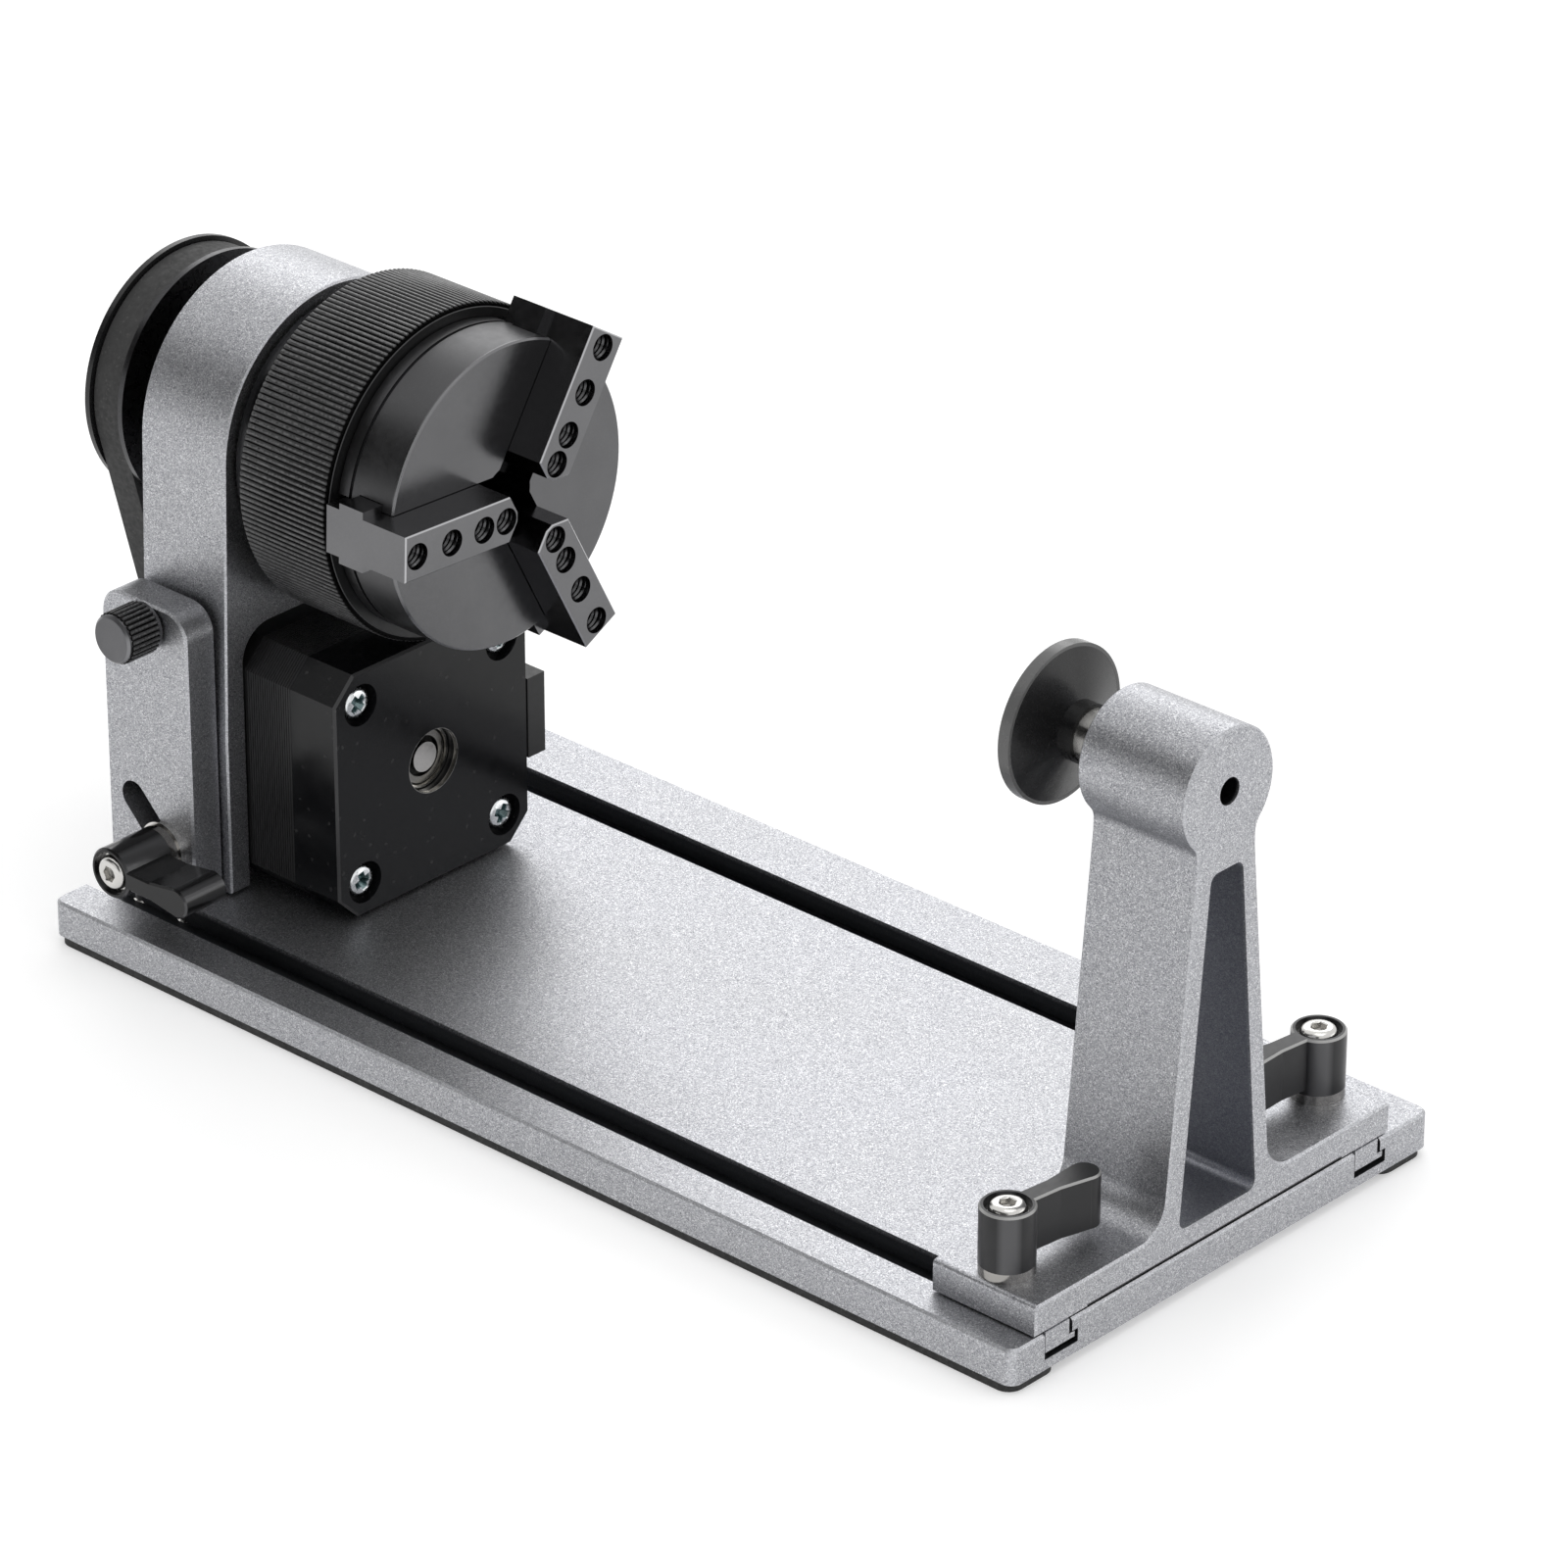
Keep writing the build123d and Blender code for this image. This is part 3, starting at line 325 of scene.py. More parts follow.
def satin_black(
    name,
    level=0.009,
    roughness=0.26,
    sparkle=0.15,
    metallic=0.0,
    crest=None,
    thumb=None,
    rim=None,
    bright_axis=None,
):
    """Black anodised aluminium with a soft sheen and a painted highlight on its chamfers.

    crest is the outer radius of a knurl about the spindle axis, or about the thumb screws' axis at thumb,
    rim the radius of a disc about the tail axis, whose bevel gets a painted highlight, bright_axis the axis
    whose chamfers get a brighter painted highlight.
    """
    black = (level, level, level * 1.04)
    gain = 1 + metallic * 3
    look = Look(name, metallic)
    look.shader.inputs["Specular IOR Level"].default_value = 0.38
    look.tint = look.mix(look.noise(12 * MM, 3.0), scaled_colour(black, 0.7), scaled_colour(black, 1.35))
    sparks = look.ranged(look.grains(0.16 * MM), 0.8, 1.0, 0.0, sparkle)
    look.shade(sparks, scaled_colour((0.04, 0.04, 0.042), gain))
    # Painted highlight on the chamfers.
    look.shade(look.product(look.edges(), 0.35), scaled_colour((0.10, 0.10, 0.104), gain))
    # Brighter painted highlight on the chamfers round bright_axis.
    if bright_axis is not None:
        look.shade(look.product(look.edges(axis=bright_axis), 0.7), (0.5, 0.5, 0.49))
    if thumb is not None:
        knurl_wear_and_painted_light(look, look.from_axis(*thumb, along="Y"), crest)
    elif crest is not None:
        knurl_wear_and_painted_light(look, look.from_axis(spindle_y, spindle_z), crest)
    # Painted highlight on the disc's rim bevel.
    if rim is not None:
        bevel = look.ranged(look.from_axis(spindle_y, tail_axis_z), rim - 0.6 * MM, rim - 0.5 * MM)
        look.shade(look.product(bevel, 0.7), (0.16, 0.16, 0.16))
    rough = look.ranged(look.noise(1.1 * MM), 0.3, 0.7, roughness - 0.03, roughness + 0.05)
    return look.finish(look.noise(0.2 * MM, 2.0), 0.002 * MM, rough)


def blackened_steel(name, turned=False, level=0.155):
    """Machined and blackened steel with a painted highlight on its chamfers; turned pieces have rings round
    the spindle axis and a darker barrel.
    """
    dark = (level, level, level * 1.03)
    look = Look(name, metallic=1.0)
    look.tint = look.mix(look.noise(9 * MM, 4.0), scaled_colour(dark, 0.86), scaled_colour(dark, 1.1))
    look.shade(look.ranged(look.grains(0.14 * MM), 0.85, 1.0, 0.0, 0.2), scaled_colour(dark, 1.6))
    # Painted highlight on the chamfers, fainter on turned pieces.
    look.shade(look.product(look.edges(), 0.2 if turned else 0.75), scaled_colour(dark, 3.6))
    rough = look.ranged(look.noise(1.2 * MM), 0.3, 0.7, 0.18, 0.24)
    if turned:
        radius = look.from_axis(spindle_y, spindle_z)
        rings = look.math("SINE", look.product(radius, math.tau / (0.14 * MM)))
        turns = look.math("SINE", look.product(look.coordinate["X"], math.tau / (0.16 * MM)))
        height = look.math("ADD", look.product(rings, 0.5), look.product(turns, 0.5))
        height = look.math("ADD", height, look.noise(0.3 * MM))
        behind_face = look.ranged(look.coordinate["X"], chuck_face_x - 0.35 * MM, chuck_face_x - 0.6 * MM)
        outside = look.ranged(radius, barrel_radius - 0.4 * MM, barrel_radius - 0.2 * MM)
        barrel = look.product(behind_face, outside)
        look.shade(look.product(barrel, 0.42), scaled_colour(dark, 0.25))
        rough = look.math("ADD", rough, look.product(barrel, 0.14))
    else:
        height = look.noise(0.12 * MM, 3.0, stretch=(0.15, 1, 1))
    return look.finish(height, 0.003 * MM, rough)


def gloss_black(name):
    """Black gloss paint with a faint orange peel, dust specks and a painted highlight on its chamfers, bare
    metal at the bearing's mouth.
    """
    look = Look(name)
    look.shader.inputs["Specular IOR Level"].default_value = 0.24
    look.tint = look.mix(look.noise(20 * MM), (0.004, 0.0042, 0.0048), (0.007, 0.0073, 0.0082))
    look.shade(look.ranged(look.grains(0.5 * MM), 0.985, 1.0, 0.0, 0.4), (0.07, 0.07, 0.07))
    # Painted highlight on the chamfers.
    look.shade(look.product(look.edges(), 0.3), (0.16, 0.16, 0.163))
    radius = look.from_axis(spindle_y, motor_z)
    inside = look.ranged(radius, bearing_mouth + 0.06 * MM, bearing_mouth + 0.03 * MM)
    at_face = look.ranged(look.coordinate["X"], motor_face_x - 0.85 * MM, motor_face_x - 0.75 * MM)
    mouth = look.product(inside, at_face)
    look.shade(mouth, (0.52, 0.51, 0.49))
    look.feed(look.shader.inputs["Metallic"], mouth)
    rough = look.ranged(look.noise(4 * MM), 0.3, 0.7, 0.16, 0.22)
    return look.finish(look.noise(1.4 * MM, 1.0), 0.004 * MM, rough)


def bright_metal(name, colour, roughness, depth=0.008 * MM, shield=None):
    """Plain or plated metal with fine machining marks of the given depth.

    shield is the inner and outer radius of the motor bearing's shield, which lies between grooves darkened
    with painted shade.
    """
    look = Look(name, metallic=1.0)
    look.tint = look.mix(look.noise(2.5 * MM, 3.0), scaled_colour(colour, 0.9), scaled_colour(colour, 1.1))
    look.shade(look.ranged(look.noise(0.9 * MM, 4.0), 0.64, 0.8, 0.0, 0.3), scaled_colour(colour, 0.65))
    if shield is not None:
        inner, outer = shield
        radius = look.from_axis(spindle_y, motor_z)
        # Painted shade in the gap outside the shield.
        look.shade(look.ranged(radius, outer + 0.2 * MM, outer + 0.16 * MM), (0.02, 0.02, 0.019))
        look.shade(look.ranged(radius, outer + 0.02 * MM, outer - 0.02 * MM), (0.27, 0.262, 0.245))
        # Painted shade in the groove round the shaft.
        look.shade(look.ranged(radius, inner, inner - 0.05 * MM), (0.018, 0.018, 0.017))
    rough = look.ranged(look.noise(0.7 * MM), 0.3, 0.7, roughness * 0.75, roughness * 1.35)
    return look.finish(look.noise(0.12 * MM, 3.0), depth, rough)


def matt_rubber(name, level=0.02):
    """Black rubber: matt, a little dusty, with a fine texture."""
    black = (level, level, level)
    look = Look(name)
    look.tint = look.mix(look.noise(6 * MM, 4.0), scaled_colour(black, 0.75), scaled_colour(black, 1.6))
    look.shade(look.ranged(look.grains(0.3 * MM), 0.93, 1.0, 0.0, 0.4), (0.09, 0.088, 0.085))
    rough = look.ranged(look.noise(0.9 * MM), 0.3, 0.7, 0.62, 0.85)
    return look.finish(look.noise(0.14 * MM, 3.0), 0.03 * MM, rough)


def zinc_plate(name):
    """Blue-passivated zinc on the motor's screws, with painted shade, dark and teal, inside their cross
    recesses.
    """
    look = Look(name, metallic=1.0)
    look.tint = look.mix(look.noise(1.1 * MM, 3.0), (0.76, 0.78, 0.80), (0.84, 0.86, 0.87))
    look.shade(look.ranged(look.noise(1.6 * MM, 2.0), 0.6, 0.75, 0.0, 0.5), (0.42, 0.60, 0.68))
    # Painted shade inside the cross recesses.
    across = look.math("SUBTRACT", look.distance("Y", spindle_y), screw_spacing_half)
    upward = look.math("SUBTRACT", look.distance("Z", motor_z), screw_spacing_half)
    near_middle = look.ranged(look.hypotenuse(across, upward), 1.75 * MM, 1.65 * MM)
    sunk = look.ranged(look.coordinate["X"], screw_top - 0.1 * MM, screw_top - 0.3 * MM)
    look.shade(look.product(near_middle, sunk, 0.9), (0.10, 0.17, 0.175))
    rough = look.ranged(look.noise(0.4 * MM), 0.3, 0.7, 0.18, 0.3)
    return look.finish(look.noise(0.25 * MM, 3.0), 0.008 * MM, rough)


# Finishes of the record's slots
finishes = {
    "grey_anodised": blasted_aluminium("grey_anodised"),
    "black_anodised": satin_black("black_anodised"),
    "black_steel": blackened_steel("black_steel"),
    "gloss_black": gloss_black("gloss_black"),
    "laminations": satin_black("laminations", level=0.014, roughness=0.36, sparkle=0.2),
    "motor_cap_front": satin_black("motor_cap_front", level=0.008, roughness=0.34, sparkle=0.2),
    "black_plastic": satin_black("black_plastic", level=0.012, roughness=0.42, sparkle=0.1),
    "rubber": matt_rubber("rubber"),
    "belt_rubber": matt_rubber("belt_rubber", level=0.028),
    "stainless": bright_metal("stainless", (0.64, 0.63, 0.61), 0.16, depth=0.003 * MM),
    "zinc_steel": zinc_plate("zinc_steel"),
    "bearing_steel": bright_metal("bearing_steel", (0.58, 0.565, 0.54), 0.2, depth=0.004 * MM),
    "flange_steel": satin_black("flange_steel", level=0.06, roughness=0.28, metallic=1.0),
}

# Finishes of single nodes, in place of their slot's
side_lever_finish = satin_black(
    "black_anodised_lever_side", level=0.012, roughness=0.16, sparkle=0.0, metallic=0.3
)
# The foot levers' chamfers round their top and bottom faces get a brighter painted highlight.
foot_lever_finish = satin_black(
    "black_anodised_lever_foot", level=0.03, roughness=0.33, sparkle=0.0, metallic=0.45, bright_axis=2
)
collar_finish = bright_metal("collar_steel", (0.34, 0.33, 0.315), 0.13, depth=0.002 * MM)
thumb_body_finish = satin_black("black_anodised_turned", level=0.12, roughness=0.36, metallic=1.0)
node_finishes = {
    "base_plate": blasted_aluminium("grey_anodised_slot_shaded", slot_painted_shade, every_way=True),
    "upright": blasted_aluminium("grey_anodised_upright_shaded", flank_painted_shade),
    "tailstock": blasted_aluminium("grey_anodised_tailstock_shaded", tailstock_painted_shade),
    "chuck_body": blackened_steel("black_steel_turned", turned=True, level=0.125),
    "chuck_back_plate": blackened_steel("black_steel_back", turned=True, level=0.05),
    "scroll_ring": satin_black("black_anodised_ring", level=0.008, roughness=0.34),
    "tail_disc": satin_black("black_anodised_disc", level=0.007, roughness=0.24, rim=disc_radius),
    "thumb_screw_near": thumb_body_finish,
    "thumb_screw_far": thumb_body_finish,
    "side_lever": side_lever_finish,
    "foot_lever_near": foot_lever_finish,
    "foot_lever_far": foot_lever_finish,
    "side_lever_collar": collar_finish,
    "foot_lever_near_collar": collar_finish,
    "foot_lever_far_collar": collar_finish,
    "tail_spacer": bright_metal("spacer_steel", (0.30, 0.295, 0.285), 0.2, depth=0.004 * MM),
    "tail_shaft": bright_metal("shaft_steel", (0.30, 0.295, 0.285), 0.2, depth=0.004 * MM),
}

for name, node in frame["nodes"].items():
    node.data.materials.clear()
    node.data.materials.append(node_finishes.get(name, finishes[slot_of[name]]))


# Meshes of the added pieces
def frame_towards(direction, origin):
    """Matrix that puts a shape built along +Z at the origin, along the given direction."""
    turn = Vector(direction).to_track_quat("Z", "Y").to_matrix().to_4x4()
    return Matrix.Translation(origin) @ turn


def even_angles(count, start=0.0):
    """Angles that share a full turn evenly."""
    return [start + math.tau * index / count for index in range(count)]


def join_loops(made, lower, upper):
    """Faces between two closed loops with the same number of points."""
    for index in range(len(lower)):
        after = (index + 1) % len(lower)
        made.faces.new((lower[index], lower[after], upper[after], upper[index]))


def turned_shape(levels, angles):
    """Loops at (height, radius) levels, open at both ends; a radius may be a function of the angle."""
    made = bmesh.new()
    loops = []
    for height, radius in levels:
        loop = []
        for angle in angles:
            size = radius(angle) if callable(radius) else radius
            loop.append(made.verts.new((size * math.cos(angle), size * math.sin(angle), height)))
        loops.append(loop)
    for lower, upper in zip(loops, loops[1:]):
        join_loops(made, lower, upper)
    return made, loops


def ring_shape(levels, angles):
    """A closed ring: the last level joins the first."""
    made, loops = turned_shape(levels, angles)
    join_loops(made, loops[-1], loops[0])
    return made


def solid_shape(levels, angles):
    """A closed solid whose first and last loops are filled."""
    made, loops = turned_shape(levels, angles)
    made.faces.new(list(reversed(loops[0])))
    made.faces.new(loops[-1])
    return made


def joined(shapes):
    """One bmesh out of several (bmesh, matrix) pairs."""
    whole = bmesh.new()
    for shape, matrix in shapes:
        shape.transform(matrix)
        part = bpy.data.meshes.new("part")
        shape.to_mesh(part)
        shape.free()
        whole.from_mesh(part)
        bpy.data.meshes.remove(part)
    return whole


def add_piece(name, shape, body, slot, finish=None, smooth=35.0):
    """Turn a bmesh into a shown piece that rides on a body."""
    bmesh.ops.recalc_face_normals(shape, faces=shape.faces)
    mesh = bpy.data.meshes.new(name)
    shape.to_mesh(mesh)
    shape.free()
    mesh.polygons.foreach_set("use_smooth", [True] * len(mesh.polygons))
    mesh.set_sharp_from_angle(angle=math.radians(smooth))
    piece = bpy.data.objects.new(name, mesh)
    bpy.context.scene.collection.objects.link(piece)
    mesh.materials.append(finish or finishes[slot])
    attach(piece, body)
    return piece


# Knurls of the scroll ring and the thumb screws
knurl_lift = 0.01 * MM
knurl_inset = 0.12 * MM
ring_ridges = 178
ring_ridge_depth = 0.27 * MM
ring_knurl_wall = 0.75 * MM
ring_knurl_edge = 0.4 * MM
thumb_ridges = 30
thumb_ridge_depth = 0.3 * MM
thumb_knurl_wall = 0.3 * MM
thumb_knurl_edge = 0.3 * MM
thumb_knurl_length = 6.0 * MM
thumb_knurl_start = 6.7 * MM


def knurled(radius, depth, ridges):
    """Radius of a straight knurl with rounded ridges and narrow valleys."""
    def size(angle):
        phase = (angle * ridges / math.tau) % 1.0
        return radius + depth * math.sin(math.pi * phase) ** 0.7
    return size


def knurl_ring(length, inner, radius, depth, ridges, edge):
    """Ring whose ridges run out at both ends in a small bevel."""
    ridged = knurled(radius, depth, ridges)
    worn = knurled(radius - edge / 2, depth * 0.5, ridges)
    levels = [
        (0, inner),
        (0, worn),
        (edge, ridged),
        (length - edge, ridged),
        (length, worn),
        (length, inner),
    ]
    return ring_shape(levels, even_angles(ridges * 8))


length = ring_high.x - ring_low.x - spiral_height - 2 * knurl_inset
inner = ring_radius - ring_knurl_wall
outer = ring_radius + knurl_lift
shape = knurl_ring(length, inner, outer, ring_ridge_depth, ring_ridges, ring_knurl_edge)
shape.transform(frame_towards((1, 0, 0), (ring_low.x + knurl_inset, spindle_y, spindle_z)))
knurl_finish = satin_black(
    "black_anodised_knurl", level=0.007, roughness=0.3, sparkle=0.5, crest=outer + ring_ridge_depth
)
add_piece("scroll_ring_knurl", shape, "scroll", "black_anodised", knurl_finish)

thumb_radius = half_height("thumb_screw_near")
thumb_place = middle("thumb_screw_near")
inner = thumb_radius - thumb_knurl_wall
outer = thumb_radius + knurl_lift
thumb_finish = satin_black(
    "black_anodised_thumb",
    level=0.012,
    sparkle=0.0,
    crest=outer + thumb_ridge_depth,
    thumb=(thumb_place.x, thumb_place.z),
)
for side, name, body in ((-1, "thumb_screw_near", "thumb_near"), (1, "thumb_screw_far", "thumb_far")):
    low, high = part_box(name)
    face_y = low.y if side < 0 else high.y
    origin = (middle(name).x, face_y - side * thumb_knurl_start, middle(name).z)
    shape = knurl_ring(
        thumb_knurl_length, inner, outer, thumb_ridge_depth, thumb_ridges, thumb_knurl_edge
    )
    shape.transform(frame_towards((0, side, 0), origin))
    add_piece(name + "_knurl", shape, body, "black_anodised", thumb_finish)


# Threads in the jaws' holes
thread_pitch = 0.8 * MM
thread_height = 0.24 * MM
thread_sink = 0.02 * MM
thread_inset = 0.5 * MM
thread_clearance = 0.7 * MM
thread_profile = ((0.05, 0.0), (0.42, 1.0), (0.58, 1.0), (0.95, 0.0))


def thread_shape(radius, depth, steps=28):
    """Helical ridge on the wall of a hole, which fades out over part of a turn at both ends.

    thread_profile gives the ridge's points as shares of the pitch and of the height.
    """
    made = bmesh.new()
    rows = []
    count = int((depth - thread_pitch) / thread_pitch * steps)
    for index in range(count + 1):
        angle = math.tau * index / steps
        along = thread_pitch * index / steps
        fade = min(1.0, index / steps * 1.5, (count - index) / steps * 1.5)
        row = []
        for share, inward in thread_profile:
            size = radius + thread_sink - inward * thread_height * fade
            place = (size * math.cos(angle), size * math.sin(angle), along + share * thread_pitch)
            row.append(made.verts.new(place))
        rows.append(row)
    for first, second in zip(rows, rows[1:]):
        for low, high in zip(range(3), range(1, 4)):
            made.faces.new((first[low], first[high], second[high], second[low]))
        made.faces.new((first[3], first[0], second[0], second[3]))
    made.faces.new(rows[0])
    made.faces.new(list(reversed(rows[-1])))
    return made


# Darker copy of the blackened steel for the threads: painted shade inside the jaws' holes.
shaded_thread_finish = blackened_steel("black_steel_thread_shaded", level=0.035)
for number in (1, 2, 3):
    mount = mount_of[f"jaw_{number}_hole"]
    hole_radius = mount["dims"]["r_mm"] * MM
    depth = mount["dims"]["length_mm"] * MM - thread_clearance
    outermost = Vector(mount["pos_m"]) - Vector((mount["pos_m"][0], spindle_y, spindle_z))
    mouth_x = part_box(f"jaw_{number}")[1].x - thread_inset
    threads = []
    for radius in jaw_hole_radii:
        place = Vector((mouth_x, spindle_y, spindle_z)) + outermost.normalized() * radius
        threads.append((thread_shape(hole_radius, depth), frame_towards((-1, 0, 0), place)))
    add_piece(f"jaw_{number}_threads", joined(threads), f"jaw_{number}", "black_steel", shaded_thread_finish)


# Laminations of the motor
lamination_count = 20
lamination_groove = 0.12 * MM
groove_share = 0.06
bevel_share = 0.16


def cut_square(half, cut):
    """Radius of a square with cut corners, and the angles of its eight corners."""
    def size(angle):
        x, y = abs(math.cos(angle)), abs(math.sin(angle))
        return min(half / max(x, y), (2 * half - cut) / (x + y))
    corner = math.atan2(half - cut, half)
    angles = []
    for quarter in range(4):
        turn = math.tau * quarter / 4
        angles += [turn - corner, turn + corner]
    return size, sorted(angle % math.tau for angle in angles)


stator_low, stator_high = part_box("motor_stator")
thickness = (stator_high.x - stator_low.x) / lamination_count
outline, corners = cut_square(half_height("motor_stator"), motor_cut)
groove_outline, _ = cut_square(half_height("motor_stator") - lamination_groove, motor_cut)
levels = []
for index in range(lamination_count):
    start = index * thickness
    levels += [
        (start + thickness * groove_share, groove_outline),
        (start + thickness * bevel_share, outline),
        (start + thickness * (1 - bevel_share), outline),
        (start + thickness * (1 - groove_share), groove_outline),
    ]
shape = solid_shape(levels, corners)
shape.transform(frame_towards((1, 0, 0), (stator_low.x, spindle_y, motor_z)))
laminated = add_piece("motor_laminations", shape, "headstock", "laminations", smooth=20.0)
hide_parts("motor_stator")


# Screws, each built along +Z with its shank below 0 and its head above
def cross_recess(length, width):
    """Radius of a cross-shaped recess with two equal arms."""
    def size(angle):
        x = max(abs(math.cos(angle)), 1e-9)
        y = max(abs(math.sin(angle)), 1e-9)
        return max(min(length / x, width / y), min(length / y, width / x))
    return size


def hexagon(across):
    """Radius of a hexagon, given its size across the flats."""
    def size(angle):
        wedge = math.radians(60)
        return across / 2 / math.cos(angle % wedge - wedge / 2)
    return size


def shank_levels(radius, length, point):
    """Levels of a shank whose end narrows to the given share of its radius."""
    return [(-length, radius * point), (-length + 0.4 * MM, radius), (0, radius)]


def socket_levels(height, across, floor, tip):
    """Levels of a hexagon socket with a rounded mouth; floor and tip are shares of the head's height."""
    return [
        (height, across / 2 * 1.22),
        (height - 0.12 * MM, hexagon(across)),
        (floor * height, hexagon(across)),
        (tip * height, across * 0.2),
    ]


def pan_screw(radius, height, shank_radius, shank):
    """Screw with a domed head and a cross recess."""
    arm = radius * 0.62
    levels = shank_levels(shank_radius, shank, 0.8)
    levels += [
        (0, radius * 0.97),
        (0.12 * height, radius),
        (0.5 * height, radius * 0.98),
        (0.76 * height, radius * 0.9),
        (0.93 * height, radius * 0.76),
        (height, cross_recess(arm, radius * 0.24)),
        (0.72 * height, cross_recess(arm * 0.8, radius * 0.19)),
        (0.3 * height, cross_recess(arm * 0.45, radius * 0.12)),
    ]
    return solid_shape(levels, even_angles(96, math.radians(0.7)))


def socket_screw(radius, height, shank_radius, shank, socket):
    """Screw with a cylinder head and a hexagon socket."""
    levels = shank_levels(shank_radius, shank, 0.85)
    levels += [(0, radius), (height - 0.2 * MM, radius), (height, radius - 0.2 * MM)]
    levels += socket_levels(height, socket, 0.3, 0.2)
    return solid_shape(levels, even_angles(72))


def button_screw(radius, height, shank_radius, shank, socket):
    """Screw with a domed head and a hexagon socket."""
    levels = shank_levels(shank_radius, shank, 0.85)
    levels += [(0, radius * 0.98), (0.1 * height, radius)]
    for step in range(1, 9):
        rise = step / 8
        level = height * (0.1 + 0.9 * math.sin(rise * math.pi / 2))
        levels.append((level, radius * (1 - 0.46 * rise ** 2.2)))
    levels += socket_levels(height, socket, 0.25, 0.12)
    return solid_shape(levels, even_angles(72))


# Case screws at the motor's rear face
head_height = 1.7 * MM
motor_shank_radius = 1.45 * MM
head_turns = (0.3, 1.1, 0.75, 0.05)


def at_corners(screw, seat_x, direction):
    """A screw at each of the motor's four corners, every one turned by its own angle."""
    screws = []
    for turn, (side, level) in zip(head_turns, ((-1, -1), (1, -1), (-1, 1), (1, 1))):
        shape = screw.copy()
        shape.transform(Matrix.Rotation(turn, 4, "Z"))
        origin = (seat_x, spindle_y + side * screw_spacing_half, motor_z + level * screw_spacing_half)
        screws.append((shape, frame_towards(direction, origin)))
    screw.free()
    return joined(screws)


low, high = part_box("motor_case_screws")
seat_x = high.x - head_height
screw = pan_screw(head_radius, head_height, motor_shank_radius, seat_x - low.x)
shape = at_corners(screw, seat_x, (1, 0, 0))
case_screws = add_piece("motor_case_screw_heads", shape, "headstock", "zinc_steel")
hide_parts("motor_case_screws")


# Rear bearing of the motor, seen in the cap's recess: outer ring, sunk shield and groove round the shaft
bore_radius = 2.55 * MM
race_radius = half_height("motor_rear_bearing")
race_low, race_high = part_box("motor_rear_bearing")
race_width = race_high.x - race_low.x
race_edge = 0.15 * MM
sunk = 0.5 * MM
groove = 1.1 * MM
levels = [
    (0, bore_radius),
    (0, race_radius),
    (race_width - race_edge, race_radius),
    (race_width, race_radius - race_edge),
    (race_width, race_radius * 0.9),
    (race_width - sunk, race_radius * 0.88),
    (race_width - sunk, race_radius * 0.86),
    (race_width - sunk * 0.7, race_radius * 0.84),
    (race_width - sunk * 0.8, bore_radius * 1.34),
    (race_width - groove, bore_radius * 1.28),
    (race_width - groove, bore_radius),
]
shape = ring_shape(levels, even_angles(72))
shape.transform(frame_towards((1, 0, 0), (race_low.x, spindle_y, motor_z)))
shield = (bore_radius * 1.32, race_radius * 0.85)
race_finish = bright_metal("motor_race_steel", (0.66, 0.64, 0.60), 0.2, depth=0.003 * MM, shield=shield)
race = add_piece("motor_bearing_rings", shape, "headstock", "bearing_steel", race_finish, smooth=25.0)
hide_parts("motor_rear_bearing")


# Socket screws that hold the motor, sunk into the back of the upright
screw_finish = bright_metal("stainless_screw", (0.62, 0.61, 0.59), 0.2)
low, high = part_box("motor_mount_screws")
seat_x = low.x + head_height
screw = socket_screw(head_radius, head_height, motor_shank_radius, high.x - seat_x, 2.5 * MM)
shape = at_corners(screw, seat_x, (-1, 0, 0))
mount_screws = add_piece("motor_mount_screw_heads", shape, "headstock", "stainless", screw_finish)
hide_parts("motor_mount_screws")


# Button-head screws of the levers: direction of the head and radius of the shank
lever_screws = {
    "side_lever": (Vector((0, -1, 0)), 2.5 * MM),
    "foot_lever_near": (Vector((0, 0, 1)), 1.9 * MM),
    "foot_lever_far": (Vector((0, 0, 1)), 1.9 * MM),
}
button_radius = 2.9 * MM
button_height = 1.5 * MM
button_socket = 2.3 * MM
for lever, (direction, shank_radius) in lever_screws.items():
    name = lever + "_screw"
    low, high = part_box(name)
    bottom, top = sorted((low.dot(direction), high.dot(direction)))
    seat = top - button_height
    centre = middle(name)
    origin = centre + direction * (seat - centre.dot(direction))
    shape = button_screw(button_radius, button_height, shank_radius, seat - bottom, button_socket)
    shape.transform(frame_towards(direction, origin))
    screw = add_piece(name + "_button", shape, lever, "stainless", screw_finish)
    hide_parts(name)


# Teeth of the belt drive
belt_low, belt_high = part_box("drive_belt")
belt_width = belt_high.x - belt_low.x
teeth_big = 60
teeth_small = 20
rim_lift = 0.01 * MM
rim_tooth_depth = 0.2 * MM
rim_wall = 0.4 * MM
tooth_pitch = math.tau * rim_big / teeth_big
tooth_profile = (
    (-0.26, -0.02 * MM),
    (-0.18, 0.55 * MM),
    (0.0, 0.7 * MM),
    (0.18, 0.55 * MM),
    (0.26, -0.02 * MM),
)


def toothed(radius, depth, count):
    """Radius of a pulley's rim with rounded teeth."""
    def size(angle):
        return radius + depth * max(0.0, min(1.0, 0.5 + 1.2 * math.cos(angle * count)))
    return size


def belt_tooth(centre, along, outward):
    """Rounded tooth across the belt's inner side; its profile is shares of the pitch and depths."""
    made = bmesh.new()
    rows = []
    for x in (0.0, belt_width):
        row = []
        for step, depth in tooth_profile:
            place = centre + along * (step * tooth_pitch) - outward * depth
            row.append(made.verts.new(place + Vector((x, 0, 0))))
        rows.append(row)
    first, second = rows
    for index in range(len(tooth_profile) - 1):
        made.faces.new((first[index], first[index + 1], second[index + 1], second[index]))
    made.faces.new(first)
    made.faces.new(list(reversed(second)))
    made.faces.new((first[-1], first[0], second[0], second[-1]))
    return made


